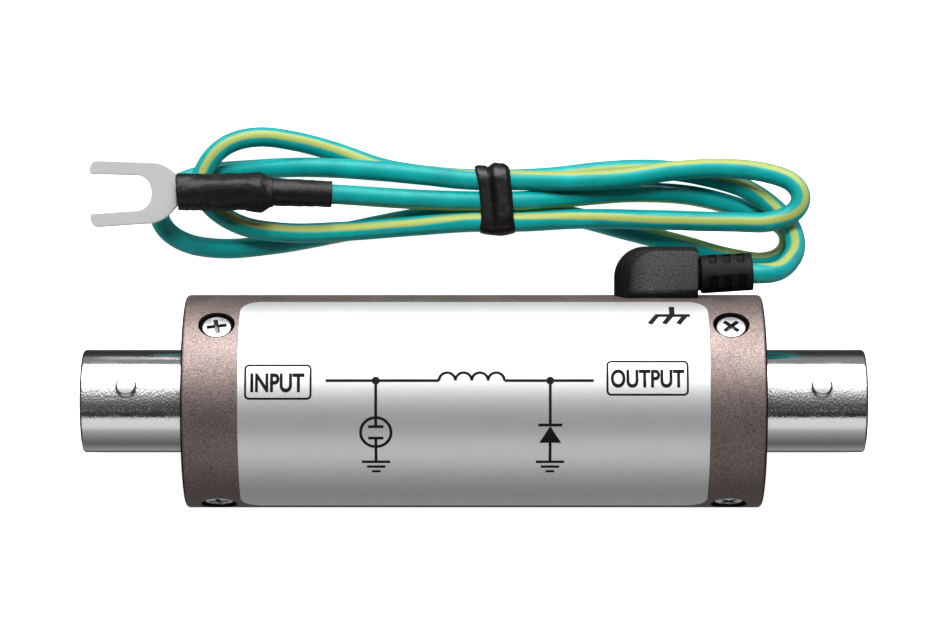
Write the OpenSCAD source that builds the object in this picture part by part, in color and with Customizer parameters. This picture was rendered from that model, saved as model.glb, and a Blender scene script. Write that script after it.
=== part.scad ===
// In-line coaxial lightning arrestor with an earth lead tied in a hank.
// The tube lies along X on the surface z = 0 with its label up, the input jack at -X
// and the earth boot towards +Y. Angles round the tube run from +Z towards +Y.

/* [Housing tube] */
// Outside diameter of the tube
tube_d = 20; // [18:0.5:26]
// Length of the tube
tube_l = 54; // [50:0.5:80]
// Wall of the tube
tube_wall = 2; // [1.7:0.1:2.4]
// Rounding of the tube's outer end edges
tube_edge_r = 0.4; // [0.1:0.1:0.8]

/* [End caps] */
// Thickness of each end cap
cap_t = 6.4; // [5.4:0.2:7]
// How far each cap's face sits inside the tube's end
cap_recess = 0.3; // [0.1:0.1:0.8]
// Play between a cap and the tube's bore, all round
cap_fit = 0.05; // [0.02:0.01:0.1]

/* [Cap screws] */
// Distance of the screws from the tube's end
screw_inset = 3.2; // [2.6:0.1:3.8]
// Angle of the first screw round the tube
screw_angle = 46.6; // [40:0.2:52]
// Number of screws in each cap
screw_count = 3; // [2:1:3]
// Thread diameter of the screws
screw_d = 1.6; // [1.2:0.1:2]
// Length of the screws below the head
screw_l = 3.2; // [2:0.1:3.4]
// Diameter of the screw heads
screw_head_d = 2.75; // [2.4:0.05:3]
// Height of the screw heads
screw_head_h = 1; // [0.7:0.05:1.2]
// Depth of the screw heads below the tube's surface
screw_sink = 0.28; // [0.1:0.02:0.4]
// Diameter of the counterbores
cbore_d = 3.35; // [3.2:0.05:4]
// Length of the cross recess, tip to tip
cross_l = 1.95; // [1.4:0.05:2.2]
// Width of the cross recess
cross_w = 0.35; // [0.25:0.05:0.5]
// Depth of the cross recess
cross_depth = 0.5; // [0.3:0.05:0.6]
// Play between the screws and their holes, all round
screw_fit = 0.05; // [0.02:0.01:0.1]

/* [Coaxial jacks] */
// Outside diameter of the jack's barrel
barrel_d = 9.65; // [9.4:0.05:10.5]
// How far the jacks reach past the tube's ends
jack_reach = 9.7; // [9:0.1:12]
// Inside diameter of the barrel
jack_bore_d = 8.1; // [7.6:0.05:8.3]
// Depth of the barrel's bore
jack_bore_l = 8.4; // [7.6:0.1:8.8]
// Chamfer of the barrel's mouth
mouth_chamfer = 0.25; // [0.1:0.05:0.3]
// Diameter of the bayonet lugs
lug_d = 2; // [1.6:0.1:2.4]
// Distance across the two lugs, tip to tip
lug_span = 11; // [10.7:0.1:12]
// Distance of the lugs behind the mouth
lug_back = 4.35; // [3:0.05:6]
// Angle of the first lug round the tube
lug_angle = 16.5; // [0:0.5:90]
// Outside diameter of the neck that passes through the cap
neck_d = 8; // [7:0.1:8.6]
// Length of the neck past the nut
neck_proud = 0.5; // [0.2:0.1:1]
// Play between the neck and the pieces on it, all round
neck_fit = 0.05; // [0.02:0.01:0.1]
// Diameter of the lock washer
washer_d = 12; // [11:0.2:14]
// Thickness of the lock washer
washer_t = 0.6; // [0.4:0.1:1]
// Width of the nut across its flats
nut_af = 11; // [10:0.2:12]
// Thickness of the nut
nut_t = 2.2; // [1.6:0.1:3]

/* [Insulators and contacts] */
// Diameter of the insulator
insul_d = 4.7; // [4.2:0.1:5.2]
// Length of the insulator's nose in the barrel
insul_nose = 5.2; // [4.4:0.1:6]
// Diameter of the centre contact
contact_d = 2.1; // [1.9:0.1:2.6]
// Bore of the centre contact
contact_bore_d = 1.38; // [1.2:0.02:1.5]
// Depth of the contact's bore
contact_bore_l = 4.2; // [3:0.1:6]
// Width of the slot across the contact
contact_slot_w = 0.3; // [0.15:0.05:0.4]
// Depth of the slot across the contact
contact_slot_l = 3; // [2:0.1:4]
// Distance of the contact's mouth behind the insulator's face
contact_set_back = 0.1; // [0:0.05:0.4]
// Width of the contact's solder tail
tail_w = 1.2; // [0.8:0.1:1.4]
// Thickness of the contact's solder tail
tail_t = 0.5; // [0.3:0.05:0.8]
// Length of the contact's solder tail past the insulator
tail_l = 4; // [3:0.2:5]
// Play round the insulators and contacts
contact_fit = 0.03; // [0.01:0.01:0.06]

/* [Circuit board] */
// Gap between the board and the jack necks
board_gap = 1; // [0.4:0.1:1.6]
// Width of the board
board_w = 12; // [10.8:0.2:12.4]
// Thickness of the board
board_t = 1; // [0.6:0.1:1.6]
// Distance of the gas tube from the middle
gas_x = 8; // [7.5:0.1:9]
// Diameter of the gas tube's ceramic
gas_d = 5; // [4:0.1:5.6]
// Length of the gas tube's ceramic
gas_l = 4.4; // [3:0.1:5]
// Thickness of each electrode
electrode_t = 0.7; // [0.5:0.1:1]
// How far the electrodes stand out past the ceramic
electrode_rim = 0.15; // [0.05:0.05:0.3]
// Gap under the electrodes, spanned by their feet
gas_lift = 0.3; // [0.1:0.1:0.6]
// Diameter of the line choke
choke_d = 5.4; // [4:0.1:6.4]
// Height of the line choke
choke_h = 4; // [3:0.1:5]
// Depth of the winding below the choke's flanges
choke_waist = 0.5; // [0.2:0.1:0.8]
// Thickness of the choke's flanges
choke_flange = 0.8; // [0.5:0.1:1]
// Distance of the clamp diode from the middle
diode_x = 7.6; // [7:0.1:9]
// Size of the clamp diode's body along the board
diode_l = 4.4; // [3.4:0.1:5]
// Size of the clamp diode's body across the board
diode_w = 3.6; // [2.4:0.1:5]
// Height of the clamp diode
diode_h = 2.2; // [1.6:0.1:3]
// Length of each lead of the clamp diode
diode_lead = 0.8; // [0.4:0.1:1.2]

/* [Label] */
// Length of the label
label_l = 43.4; // [30:0.2:44]
// Width of the label, measured round the tube
label_w = 24.4; // [16:0.2:25]
// Thickness of the label
label_t = 0.12; // [0.08:0.01:0.3]
// Corner radius of the label
label_corner = 2; // [0.5:0.1:4]
// Angle of the label's middle line
label_angle = -3; // [-6:0.5:6]
// Glue line between the label and the tube
label_glue = 0.02; // [0.01:0.01:0.05]

/* [Earth boot] */
// Distance of the boot's back from the tube's output end
boot_inset = 13.8; // [13.4:0.1:14.4]
// Length of the boot's head
boot_l = 8.1; // [6:0.1:9]
// Height of the boot's head above the tube
boot_h = 4.55; // [4:0.05:6]
// Depth of the boot's head
boot_depth = 5.6; // [4.4:0.1:7]
// Radius of the bend at the boot's back
boot_bend_r = 2.9; // [1:0.1:3.6]
// Rounding of the boot's edges
boot_edge_r = 1.1; // [0.4:0.1:1.8]
// Width of the groove between the head and the strain relief
groove_w = 0.4; // [0.2:0.1:0.8]
// Depth of that groove
groove_depth = 0.25; // [0.1:0.05:0.4]
// Length of the strain relief
relief_l = 4.5; // [4:0.1:6]
// Diameter of the strain relief
relief_d = 3.45; // [3.2:0.05:3.8]
// Height of the wire's axis above the tube
relief_rise = 2; // [1.9:0.05:2.4]
// Number of notches in each row of the strain relief
notch_count = 3; // [2:1:4]
// Width of a notch
notch_w = 0.75; // [0.4:0.05:0.8]
// Depth of a notch
notch_depth = 0.55; // [0.2:0.05:0.6]
// Diameter of the boot's spigot in the tube's wall
spigot_d = 3; // [2.4:0.1:3.6]
// Play between the boot and what it seats on or holds
boot_fit = 0.05; // [0.02:0.01:0.1]

/* [Earth pin] */
// Distance of the pin from the boot's back
pin_inset = 1.9; // [1.8:0.1:2.2]
// Diameter of the pin
pin_d = 1.2; // [0.9:0.1:1.4]
// Length of the pin's foot on the board
foot_l = 2.4; // [1.4:0.1:3]
// Height of the pin's foot
foot_h = 0.9; // [0.7:0.1:1.2]

/* [Earth wire] */
// Diameter of the wire over its insulation
wire_d = 1.9; // [1.4:0.1:1.9]
// Play round the wire in the pieces that hold it
wire_fit = 0.05; // [0.03:0.01:0.1]
// Diameter of the copper core in the insulation
core_d = 1; // [0.8:0.1:1.1]
// Play between the core and the insulation
core_fit = 0.06; // [0.05:0.01:0.08]
// Number of sides of the swept wire
wire_sides = 8; // [8:1:12]

/* [Wire tie] */
// Distance of the tie from the tube's middle
tie_x = 2; // [1:0.1:3]
// Width of the tie over both turns
tie_w = 3.6; // [2.4:0.1:3.8]
// Thickness of the tie's flat strip
tie_t = 0.36; // [0.2:0.02:0.36]
// Height of the rib over the core of each turn
tie_rib_t = 0.14; // [0.06:0.02:0.14]
// Width of that rib
tie_rib_w = 1.1; // [0.6:0.1:1.2]

/* [Sleeves] */
// Length of the large sleeve
sleeve_l = 9.1; // [7:0.1:9.4]
// Diameter of the large sleeve at the terminal
sleeve_tip_d = 3.45; // [3.4:0.05:4]
// Diameter of the large sleeve at its shoulder
sleeve_d = 3.75; // [3.6:0.05:4.2]
// Length of the shoulder that slopes down to the wire
sleeve_slope = 1.2; // [0.6:0.1:2]
// Diameter of the shoulder's end
sleeve_end_d = 3; // [2.8:0.1:3.2]
// Diameter of the small sleeve
wire_sleeve_d = 2.6; // [2.4:0.1:2.8]
// Gap at each end of the small sleeve
wire_sleeve_gap = 0.15; // [0.1:0.05:0.4]

/* [Fork terminal] */
// Width of the fork over both prongs
fork_w = 6.2; // [5.4:0.1:7]
// Width of the slot between the prongs
fork_slot_w = 3.6; // [3:0.1:4]
// Length from the sleeve to the prongs' tips
fork_l = 8.3; // [7.5:0.1:10]
// Depth of the slot
fork_slot_l = 5.8; // [4.6:0.1:6]
// Thickness of the fork
fork_t = 0.8; // [0.5:0.05:1]
// Width of the fork's neck at the sleeve
fork_neck_w = 3.3; // [2.6:0.1:3.4]
// Length of the shoulders between the neck and the full width
fork_shoulder = 1.6; // [1:0.1:2]
// Rounding of the prongs' outer tip corners
fork_tip_r = 0.8; // [0.2:0.1:1]
// Angle of the fork to the sleeve
fork_angle = 2; // [0:0.5:5]
// Diameter of the crimp barrel
crimp_d = 2.9; // [2.6:0.1:3]
// Length of the crimp barrel
crimp_l = 4.5; // [3:0.1:5]
// Thickness of the crimp barrel's closed end
crimp_end_t = 0.9; // [0.5:0.1:1.2]
// Width of the tab that joins the fork to the barrel
crimp_tab_w = 2.2; // [1.6:0.1:2.4]

/* [Hidden] */

// Small overlap of cutters and joined shapes
eps = 0.01;
// Facets of the round shapes
$fn = 64;

// Tube
tube_r = tube_d / 2;
bore_r = tube_r - tube_wall;
axis_z = tube_r;

// Screws
screw_x = tube_l / 2 - screw_inset;
screw_angles = [for (i = [0 : screw_count - 1]) screw_angle + 360 * i / screw_count];
cbore_depth = screw_head_h + screw_sink;
screw_seat_r = tube_r - cbore_depth;
screw_tip_r = screw_seat_r - screw_l;
// Angle of the cross recess in the input and in the output screws
cross_angles = [10, 45];

// Jacks, measured outwards from the tube's end
shoulder_z = -cap_recess;
cap_back_z = shoulder_z - cap_t;
washer_back_z = cap_back_z - washer_t;
nut_back_z = washer_back_z - nut_t;
neck_back_z = nut_back_z - neck_proud;
bore_floor_z = jack_reach - jack_bore_l;
insul_front_z = bore_floor_z + insul_nose;
contact_front_z = insul_front_z - contact_set_back;
lug_x = tube_l / 2 + jack_reach - lug_back;

// Board
neck_back_x = tube_l / 2 + neck_back_z;
board_l = 2 * (neck_back_x - board_gap);
board_top = axis_z - tail_t / 2;

// Boot and pin
boot_x = tube_l / 2 - boot_inset;
boot_back_y = tube_r + boot_h;
boot_end_x = boot_x + boot_l;
relief_x = boot_end_x + groove_w;
exit_x = relief_x + relief_l;
wire_y = tube_r + relief_rise;
boot_root_y = tube_r - boot_depth / 3;
pin_x = boot_x + pin_inset;
pin_top_y = tube_r;
wire_r = wire_d / 2;

// Places of the five strands in the tie, as [y, z]
strand_out = [21.2, 1.5];
strand_left = [17, 3.4];
strand_right = [21, 3.4];
strand_low = [18.2, 1.5];
strand_end = [19, 3.4];
tie_strands = [strand_out, strand_left, strand_right, strand_low, strand_end];
tie_in_x = [4, 0];
tie_bore_r = wire_r + wire_fit;

// Axis of the crimped end, and the ends of the two sleeves on it
crimp_y = 19.8;
crimp_z = 6;
sleeve_tip_x = -28.2;
sleeve_end_x = sleeve_tip_x + sleeve_l;
crimp_floor_x = sleeve_tip_x + crimp_end_t;
wire_end_x = crimp_floor_x + wire_fit;
sleeve_tail = [-13.4, 19.6, 5.6];
sleeve_head = [sleeve_end_x, crimp_y, crimp_z];

// Points of a strand where it enters and leaves the tie, in the given order of x
function through_tie(yz, xs) = [for (x = xs) [x, yz[0], yz[1]]];

// Route of the wire from the pin, round the bend in the boot, to the crimp
route = concat(
    [[pin_x, pin_top_y + wire_fit, axis_z], [pin_x, wire_y, axis_z], [exit_x, wire_y, axis_z]],
    // Outer right turn, down behind the front loop and back to the tie
    [[28.4, 12.1, 9.3], [30.1, 13.4, 7.2], [30.7, 15, 4.9], [30.3, 16.7, 3.5], [28.8, 18.4, 2.9]],
    [[26.4, 20.1, 2.4], [22.8, 21.3, 1.8], [18, 22.1, 1.5], [12.8, 22, 1.5], [7.5, 21.4, 1.5]],
    through_tie(strand_out, tie_in_x),
    // Upper left loop, round under the sleeve
    [[-4, 21.5, 1.4], [-8.6, 22.2, 1.2], [-13.6, 23.9, 1.2], [-17.6, 24.9, 1.8], [-21, 25.2, 2.6]],
    [[-23.8, 24.4, 3], [-25.7, 22.4, 3.1], [-26.3, 20.3, 3.1], [-25.3, 18.6, 3.1]],
    [[-22.6, 16.8, 3.1], [-18.2, 16, 3.1], [-12.8, 16.1, 3.2], [-6, 16.6, 3.4]],
    through_tie(strand_left, [0, 4]),
    // Front right loop
    [[10, 17.3, 3.4], [17.5, 17.2, 3.6], [24.5, 17, 4.6], [28.8, 17.1, 5.3], [30.7, 18, 5.6]],
    [[31.3, 19.3, 5.6], [30.6, 20.6, 5.3], [28.2, 21.6, 4.8], [24.6, 22.1, 4.2]],
    [[19.2, 21.9, 3.8], [13.6, 21.1, 3.9], [8.5, 20.9, 3.9]],
    through_tie(strand_right, tie_in_x),
    // Lower left loop, down on to the surface
    [[-5, 21.5, 3.4], [-10.5, 22, 3.1], [-16, 22.3, 2], [-21.5, 22.1, 1], [-26.6, 21.5, 1]],
    [[-29.4, 20.2, 1], [-30.5, 18.4, 1], [-29.8, 16.4, 1], [-27.9, 15.1, 1], [-24.6, 14.5, 1]],
    [[-20, 14.8, 1], [-13, 16, 1.1], [-6.5, 17.3, 1.3]],
    through_tie(strand_low, [0, 4]),
    // Inner right loop, under the boot
    [[9.5, 17.6, 1.3], [14.5, 16.3, 1], [20, 14.9, 1], [25.2, 13.5, 1], [28.3, 13.2, 1]],
    [[29.9, 13.9, 1], [30.5, 15.3, 1], [29.9, 16.7, 1], [28.4, 17.4, 1], [25.4, 18.5, 1]],
    [[21.6, 19.5, 1.2], [15.5, 19.9, 1.8], [9, 19.4, 2.5]],
    through_tie(strand_end, tie_in_x),
    // Straight to the sleeves and the crimp
    [[-6.5, 19.2, 4.1], sleeve_tail, sleeve_head, [wire_end_x, crimp_y, crimp_z]]
);

// Unit vector
function unit(v) = v / norm(v);

// Direction of a path at point i, along the bisector of its two spans
function path_dir(p, i) =
    i == 0 ? unit(p[1] - p[0]) :
    i == len(p) - 1 ? unit(p[i] - p[i - 1]) :
    unit(unit(p[i] - p[i - 1]) + unit(p[i + 1] - p[i]));

// Part of v that is square to t
function square_to(v, t) = unit(v - (v * t) * t);

// One side vector for each point of a path, carried along without twist
function path_sides(p, first) = [
    for (i = 0, u = square_to(first, path_dir(p, 0));
         i < len(p);
         i = i + 1, u = i < len(p) ? square_to(u, path_dir(p, i)) : u) u
];

// Rings of points of radius r round the points p, one ring after the other
function sweep_rings(p, r, sides) = let (u = path_sides(p, [0, 0, 1])) [
    for (i = [0 : len(p) - 1], k = [0 : sides - 1])
        p[i] + r * (cos(360 * k / sides) * u[i] + sin(360 * k / sides) * cross(path_dir(p, i), u[i]))
];

// Number in the list of point k of ring i
function ring_point(i, k, sides) = i * sides + k % sides;

// Faces of the wall between neighbouring rings, from the first ring to the last
function sweep_walls(first, last, sides) = [
    for (i = [first : last - 1], k = [0 : sides - 1]) [
        ring_point(i, k, sides), ring_point(i + 1, k, sides),
        ring_point(i + 1, k + 1, sides), ring_point(i, k + 1, sides)
    ]
];

// Face list with each face turned over
function turned_over(faces) = [for (f = faces) [for (j = [len(f) - 1 : -1 : 0]) f[j]]];

// Solid round bar of radius r along the points p
module swept_bar(p, r, sides) {
    last = len(p) - 1;
    first_end = [for (k = [0 : sides - 1]) k];
    last_end = [for (k = [0 : sides - 1]) ring_point(last, sides - 1 - k, sides)];
    polyhedron(
        sweep_rings(p, r, sides),
        concat(sweep_walls(0, last, sides), [first_end, last_end]),
        convexity = 10
    );
}

// Round tube along the points p, with its outer rings first in the list and then the rings of its bore
module swept_tube(p, r_out, r_in, sides) {
    last = len(p) - 1;
    bore = len(p);
    first_end = [
        for (k = [0 : sides - 1]) [
            ring_point(0, k, sides), ring_point(0, k + 1, sides),
            ring_point(bore, k + 1, sides), ring_point(bore, k, sides)
        ]
    ];
    last_end = [
        for (k = [0 : sides - 1]) [
            ring_point(last, k + 1, sides), ring_point(last, k, sides),
            ring_point(bore + last, k, sides), ring_point(bore + last, k + 1, sides)
        ]
    ];
    polyhedron(
        concat(sweep_rings(p, r_out, sides), sweep_rings(p, r_in, sides)),
        concat(
            sweep_walls(0, last, sides),
            turned_over(sweep_walls(bore, bore + last, sides)),
            first_end,
            last_end
        ),
        convexity = 10
    );
}

// Puts local +Z along the tube's axis, outwards at one end (1 output, -1 input)
module at_end(side) {
    mirror([side < 0 ? 1 : 0, 0, 0])
        translate([tube_l / 2, 0, axis_z])
            rotate([0, 90, 0])
                children();
}

// Puts local +Z outwards from the tube's axis at place x and angle a
module radial(x, a) {
    translate([x, 0, axis_z])
        rotate([-a, 0, 0])
            children();
}

// Puts local +Z along +X, from the given point
module lengthwise(x, y, z) {
    translate([x, y, z])
        rotate([0, 90, 0])
            children();
}

// Puts local +Z from point p towards point q
module from_to(p, q) {
    v = q - p;
    translate(p)
        rotate([0, acos(v[2] / norm(v)), atan2(v[1], v[0])])
            children();
}

// Ring with a through hole
module ring(d_out, d_in, h) {
    difference() {
        cylinder(d = d_out, h = h);
        translate([0, 0, -eps])
            cylinder(d = d_in, h = h + 2 * eps);
    }
}

// Flat outline with a straight foot and two rounded upper corners
module rounded_top(w, h, r_left, r_right) {
    translate([r_left, 0])
        square([w - r_left - r_right, h]);
    square([r_left + eps, h - r_left]);
    translate([w - r_right - eps, 0])
        square([r_right + eps, h - r_right]);
    translate([r_left, h - r_left])
        circle(r = r_left);
    translate([w - r_right, h - r_right])
        circle(r = r_right);
}

// Half section of the tube, with rounded outer end edges
module tube_section() {
    translate([bore_r, -tube_l / 2])
        square([tube_wall - tube_edge_r, tube_l]);
    translate([bore_r, -tube_l / 2 + tube_edge_r])
        square([tube_wall, tube_l - 2 * tube_edge_r]);
    for (s = [-1, 1])
        translate([tube_r - tube_edge_r, s * (tube_l / 2 - tube_edge_r)])
            circle(r = tube_edge_r);
}

module housing_tube() {
    color("#7f7069")
        difference() {
            lengthwise(0, 0, axis_z)
                rotate_extrude()
                    tube_section();
            for (side = [-1, 1], a = screw_angles)
                radial(side * screw_x, a) {
                    translate([0, 0, screw_seat_r])
                        cylinder(d = cbore_d, h = cbore_depth + 1);
                    cylinder(d = screw_d + 2 * screw_fit, h = tube_r);
                }
            radial(pin_x, 90)
                cylinder(d = spigot_d + 2 * boot_fit, h = tube_r + 1);
        }
}

// Outline of the label as seen square on to its middle line
function label_corner_points(cx, cy, from) = [
    for (i = [0 : 8])
        let (a = from + 90 * i / 8, v = cy + label_corner * sin(a))
            [cx + label_corner * cos(a), label_in_r * sin(v / label_in_r * 180 / PI)]
];
label_in_r = tube_r + label_glue;
label_cx = label_l / 2 - label_corner;
label_cy = label_w / 2 - label_corner;

module face_label() {
    color("#c9cdd2")
        intersection() {
            lengthwise(-label_l / 2, 0, axis_z)
                ring(2 * (label_in_r + label_t), 2 * label_in_r, label_l);
            radial(0, label_angle)
                linear_extrude(tube_d)
                    polygon(concat(
                        label_corner_points(label_cx, label_cy, 0),
                        label_corner_points(-label_cx, label_cy, 90),
                        label_corner_points(-label_cx, -label_cy, 180),
                        label_corner_points(label_cx, -label_cy, 270)
                    ));
        }
}

module end_cap(side) {
    color("#9a9da1")
        difference() {
            at_end(side)
                translate([0, 0, cap_back_z])
                    ring(2 * (bore_r - cap_fit), neck_d + 2 * neck_fit, cap_t);
            for (a = screw_angles)
                radial(side * screw_x, a)
                    translate([0, 0, screw_tip_r - screw_fit])
                        cylinder(d = screw_d + 2 * screw_fit, h = tube_r);
        }
}

module cap_screws(side, cross_angle) {
    color("#d3d5d8")
        for (a = screw_angles)
            radial(side * screw_x, a)
                difference() {
                    union() {
                        translate([0, 0, screw_tip_r])
                            cylinder(d = screw_d, h = screw_l + eps);
                        translate([0, 0, screw_seat_r])
                            cylinder(d = screw_head_d, h = screw_head_h);
                    }
                    translate([0, 0, screw_seat_r + screw_head_h - cross_depth])
                        rotate([0, 0, cross_angle])
                            for (q = [0, 90])
                                rotate([0, 0, q])
                                    translate([-cross_l / 2, -cross_w / 2, 0])
                                        cube([cross_l, cross_w, cross_depth + 1]);
                }
}

module jack_shell(side) {
    core_r = insul_d / 2 + contact_fit;
    barrel_r = barrel_d / 2;
    mouth_r = jack_bore_d / 2;
    color("#c3c4c6") {
        at_end(side)
            rotate_extrude()
                polygon([
                    [core_r, neck_back_z],
                    [neck_d / 2, neck_back_z],
                    [neck_d / 2, shoulder_z],
                    [barrel_r, shoulder_z],
                    [barrel_r, jack_reach - mouth_chamfer],
                    [barrel_r - mouth_chamfer, jack_reach],
                    [mouth_r + mouth_chamfer, jack_reach],
                    [mouth_r, jack_reach - mouth_chamfer],
                    [mouth_r, bore_floor_z],
                    [core_r, bore_floor_z]
                ]);
        for (half = [0, 180])
            radial(side * lug_x, lug_angle + half)
                translate([0, 0, (mouth_r + barrel_r) / 2])
                    cylinder(d = lug_d, h = lug_span / 2 - (mouth_r + barrel_r) / 2);
    }
}

module jack_insulator(side) {
    color("#f1efe9")
        at_end(side)
            translate([0, 0, neck_back_z])
                ring(insul_d, contact_d + 2 * contact_fit, insul_front_z - neck_back_z);
}

module jack_contact(side) {
    color("#c9a24a")
        at_end(side)
            difference() {
                union() {
                    translate([0, 0, neck_back_z])
                        cylinder(d = contact_d, h = contact_front_z - neck_back_z);
                    translate([-tail_t / 2, -tail_w / 2, neck_back_z - tail_l])
                        cube([tail_t, tail_w, tail_l + eps]);
                }
                translate([0, 0, contact_front_z - contact_bore_l])
                    cylinder(d = contact_bore_d, h = contact_bore_l + 1);
                translate([-contact_slot_w / 2, -contact_d, contact_front_z - contact_slot_l])
                    cube([contact_slot_w, 2 * contact_d, contact_slot_l + 1]);
            }
}

module lock_washer(side) {
    color("#a9acb0")
        at_end(side)
            translate([0, 0, washer_back_z])
                ring(washer_d, neck_d + 2 * neck_fit, washer_t);
}

module jack_nut(side) {
    color("#b7b9bc")
        at_end(side)
            translate([0, 0, nut_back_z])
                difference() {
                    cylinder(d = nut_af / cos(30), h = nut_t, $fn = 6);
                    translate([0, 0, -eps])
                        cylinder(d = neck_d + 2 * neck_fit, h = nut_t + 2 * eps);
                }
}

module circuit_board() {
    color("#2f6b45")
        translate([-board_l / 2, -board_w / 2, board_top - board_t])
            cube([board_l, board_w, board_t]);
}

// Axis height of the gas tube over the board
gas_r = gas_d / 2 + electrode_rim;
gas_z = board_top + gas_lift + gas_r;

module gas_tube_ceramic() {
    color("#e9e4da")
        translate([-gas_x, -gas_l / 2, gas_z])
            rotate([-90, 0, 0])
                cylinder(d = gas_d, h = gas_l);
}

module gas_tube_electrodes() {
    color("#b9bbbe")
        for (end = [0, 1])
            mirror([0, end, 0])
                translate([-gas_x, gas_l / 2, 0]) {
                    translate([0, 0, gas_z])
                        rotate([-90, 0, 0])
                            cylinder(r = gas_r, h = electrode_t);
                    translate([-gas_r / 2, 0, board_top])
                        cube([gas_r, electrode_t, gas_z - board_top]);
                }
}

module clamp_diode() {
    color("#2b2b2d")
        translate([diode_x, 0, board_top]) {
            translate([-diode_l / 2, -diode_w / 2, 0])
                cube([diode_l, diode_w, diode_h]);
            translate([-diode_l / 2 - diode_lead, -diode_w / 4, 0])
                cube([diode_l + 2 * diode_lead, diode_w / 2, diode_h / 2]);
        }
}

module line_choke() {
    choke_r = choke_d / 2;
    color("#5b3a2a")
        translate([0, 0, board_top])
            rotate_extrude()
                polygon([
                    [0, 0],
                    [choke_r, 0],
                    [choke_r, choke_flange],
                    [choke_r - choke_waist, choke_flange],
                    [choke_r - choke_waist, choke_h - choke_flange],
                    [choke_r, choke_h - choke_flange],
                    [choke_r, choke_h],
                    [0, choke_h]
                ]);
}

module earth_pin() {
    edge_y = board_w / 2;
    color("#b59a5a") {
        translate([pin_x - pin_d / 2, edge_y - foot_l, board_top])
            cube([pin_d, foot_l + pin_d, foot_h]);
        translate([pin_x, edge_y + boot_fit, axis_z])
            rotate([-90, 0, 0])
                cylinder(d = pin_d, h = pin_top_y - edge_y - boot_fit);
    }
}

// Notch that runs across the strain relief, cut from its upper or lower side
module relief_notches(way) {
    pitch = relief_l / (notch_count + 0.5);
    for (i = [0 : notch_count - 1])
        translate([relief_x + pitch * (i + 0.75), wire_y, axis_z])
            translate([-notch_w / 2, way > 0 ? relief_d / 2 - notch_depth : -relief_d, -relief_d])
                cube([notch_w, relief_d / 2 + notch_depth, 2 * relief_d]);
}

module boot_head() {
    h = boot_back_y - boot_root_y;
    intersection() {
        translate([boot_x, boot_root_y, axis_z - boot_depth / 2])
            linear_extrude(boot_depth)
                rounded_top(boot_l, h, boot_bend_r, boot_edge_r);
        lengthwise(boot_x, boot_root_y, axis_z)
            linear_extrude(boot_l)
                translate([-boot_depth / 2, 0])
                    rounded_top(boot_depth, h, boot_edge_r, boot_edge_r);
    }
}

module boot_relief() {
    lengthwise(boot_end_x - boot_edge_r, wire_y, axis_z)
        cylinder(d = relief_d - 2 * groove_depth, h = boot_edge_r + groove_w + eps);
    difference() {
        lengthwise(relief_x, wire_y, axis_z)
            cylinder(d = relief_d, h = relief_l);
        relief_notches(1);
        relief_notches(-1);
    }
}

module ground_boot() {
    color("#232120")
        difference() {
            union() {
                difference() {
                    union() {
                        boot_head();
                        boot_relief();
                    }
                    lengthwise(-tube_l / 2, 0, axis_z)
                        cylinder(r = tube_r + boot_fit, h = tube_l);
                }
                radial(pin_x, 90)
                    translate([0, 0, bore_r])
                        cylinder(d = spigot_d, h = tube_wall + boot_h / 2);
            }
            lengthwise(pin_x, wire_y, axis_z)
                cylinder(r = wire_r + wire_fit, h = exit_x);
            translate([pin_x, wire_y, axis_z])
                sphere(r = wire_r + wire_fit);
            radial(pin_x, 90) {
                translate([0, 0, pin_top_y])
                    cylinder(r = wire_r + wire_fit, h = relief_rise);
                cylinder(d = pin_d + 2 * boot_fit, h = pin_top_y + eps);
            }
        }
}

module ground_wire() {
    color("#12938f")
        swept_tube(route, wire_r, core_d / 2 + core_fit, wire_sides);
}

module wire_core() {
    color("#b87347")
        swept_bar(route, core_d / 2, wire_sides);
}

// Closed band round the five strands, seen along the tube
module tie_loop(w, t) {
    translate([tie_x - w / 2, 0, 0])
        rotate([90, 0, 90])
            linear_extrude(w)
                difference() {
                    hull()
                        for (s = tie_strands)
                            translate(s)
                                circle(r = tie_bore_r + t);
                    hull()
                        for (s = tie_strands)
                            translate(s)
                                circle(r = tie_bore_r);
                }
}

module wire_tie() {
    color("#1d1c1c") {
        tie_loop(tie_w, tie_t);
        for (turn = [-1, 1])
            translate([turn * tie_w / 4, 0, 0])
                tie_loop(tie_rib_w, tie_t + tie_rib_t);
    }
}

module terminal_sleeve() {
    hold_l = sleeve_l - crimp_l;
    color("#2a2827")
        lengthwise(sleeve_tip_x, crimp_y, crimp_z)
            rotate_extrude()
                polygon([
                    [crimp_d / 2 + wire_fit, 0],
                    [sleeve_tip_d / 2, 0],
                    [sleeve_d / 2, sleeve_l - sleeve_slope],
                    [sleeve_end_d / 2, sleeve_l],
                    [wire_r + wire_fit, sleeve_l],
                    [wire_r + wire_fit, crimp_l + hold_l / 4],
                    [crimp_d / 2 + wire_fit, crimp_l + wire_fit]
                ]);
}

module wire_sleeve() {
    sleeve_span = norm(sleeve_tail - sleeve_head) - 2 * wire_sleeve_gap;
    color("#2a2827")
        from_to(sleeve_head, sleeve_tail)
            translate([0, 0, wire_sleeve_gap])
                ring(wire_sleeve_d, wire_d + 2 * wire_fit, sleeve_span);
}

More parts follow.
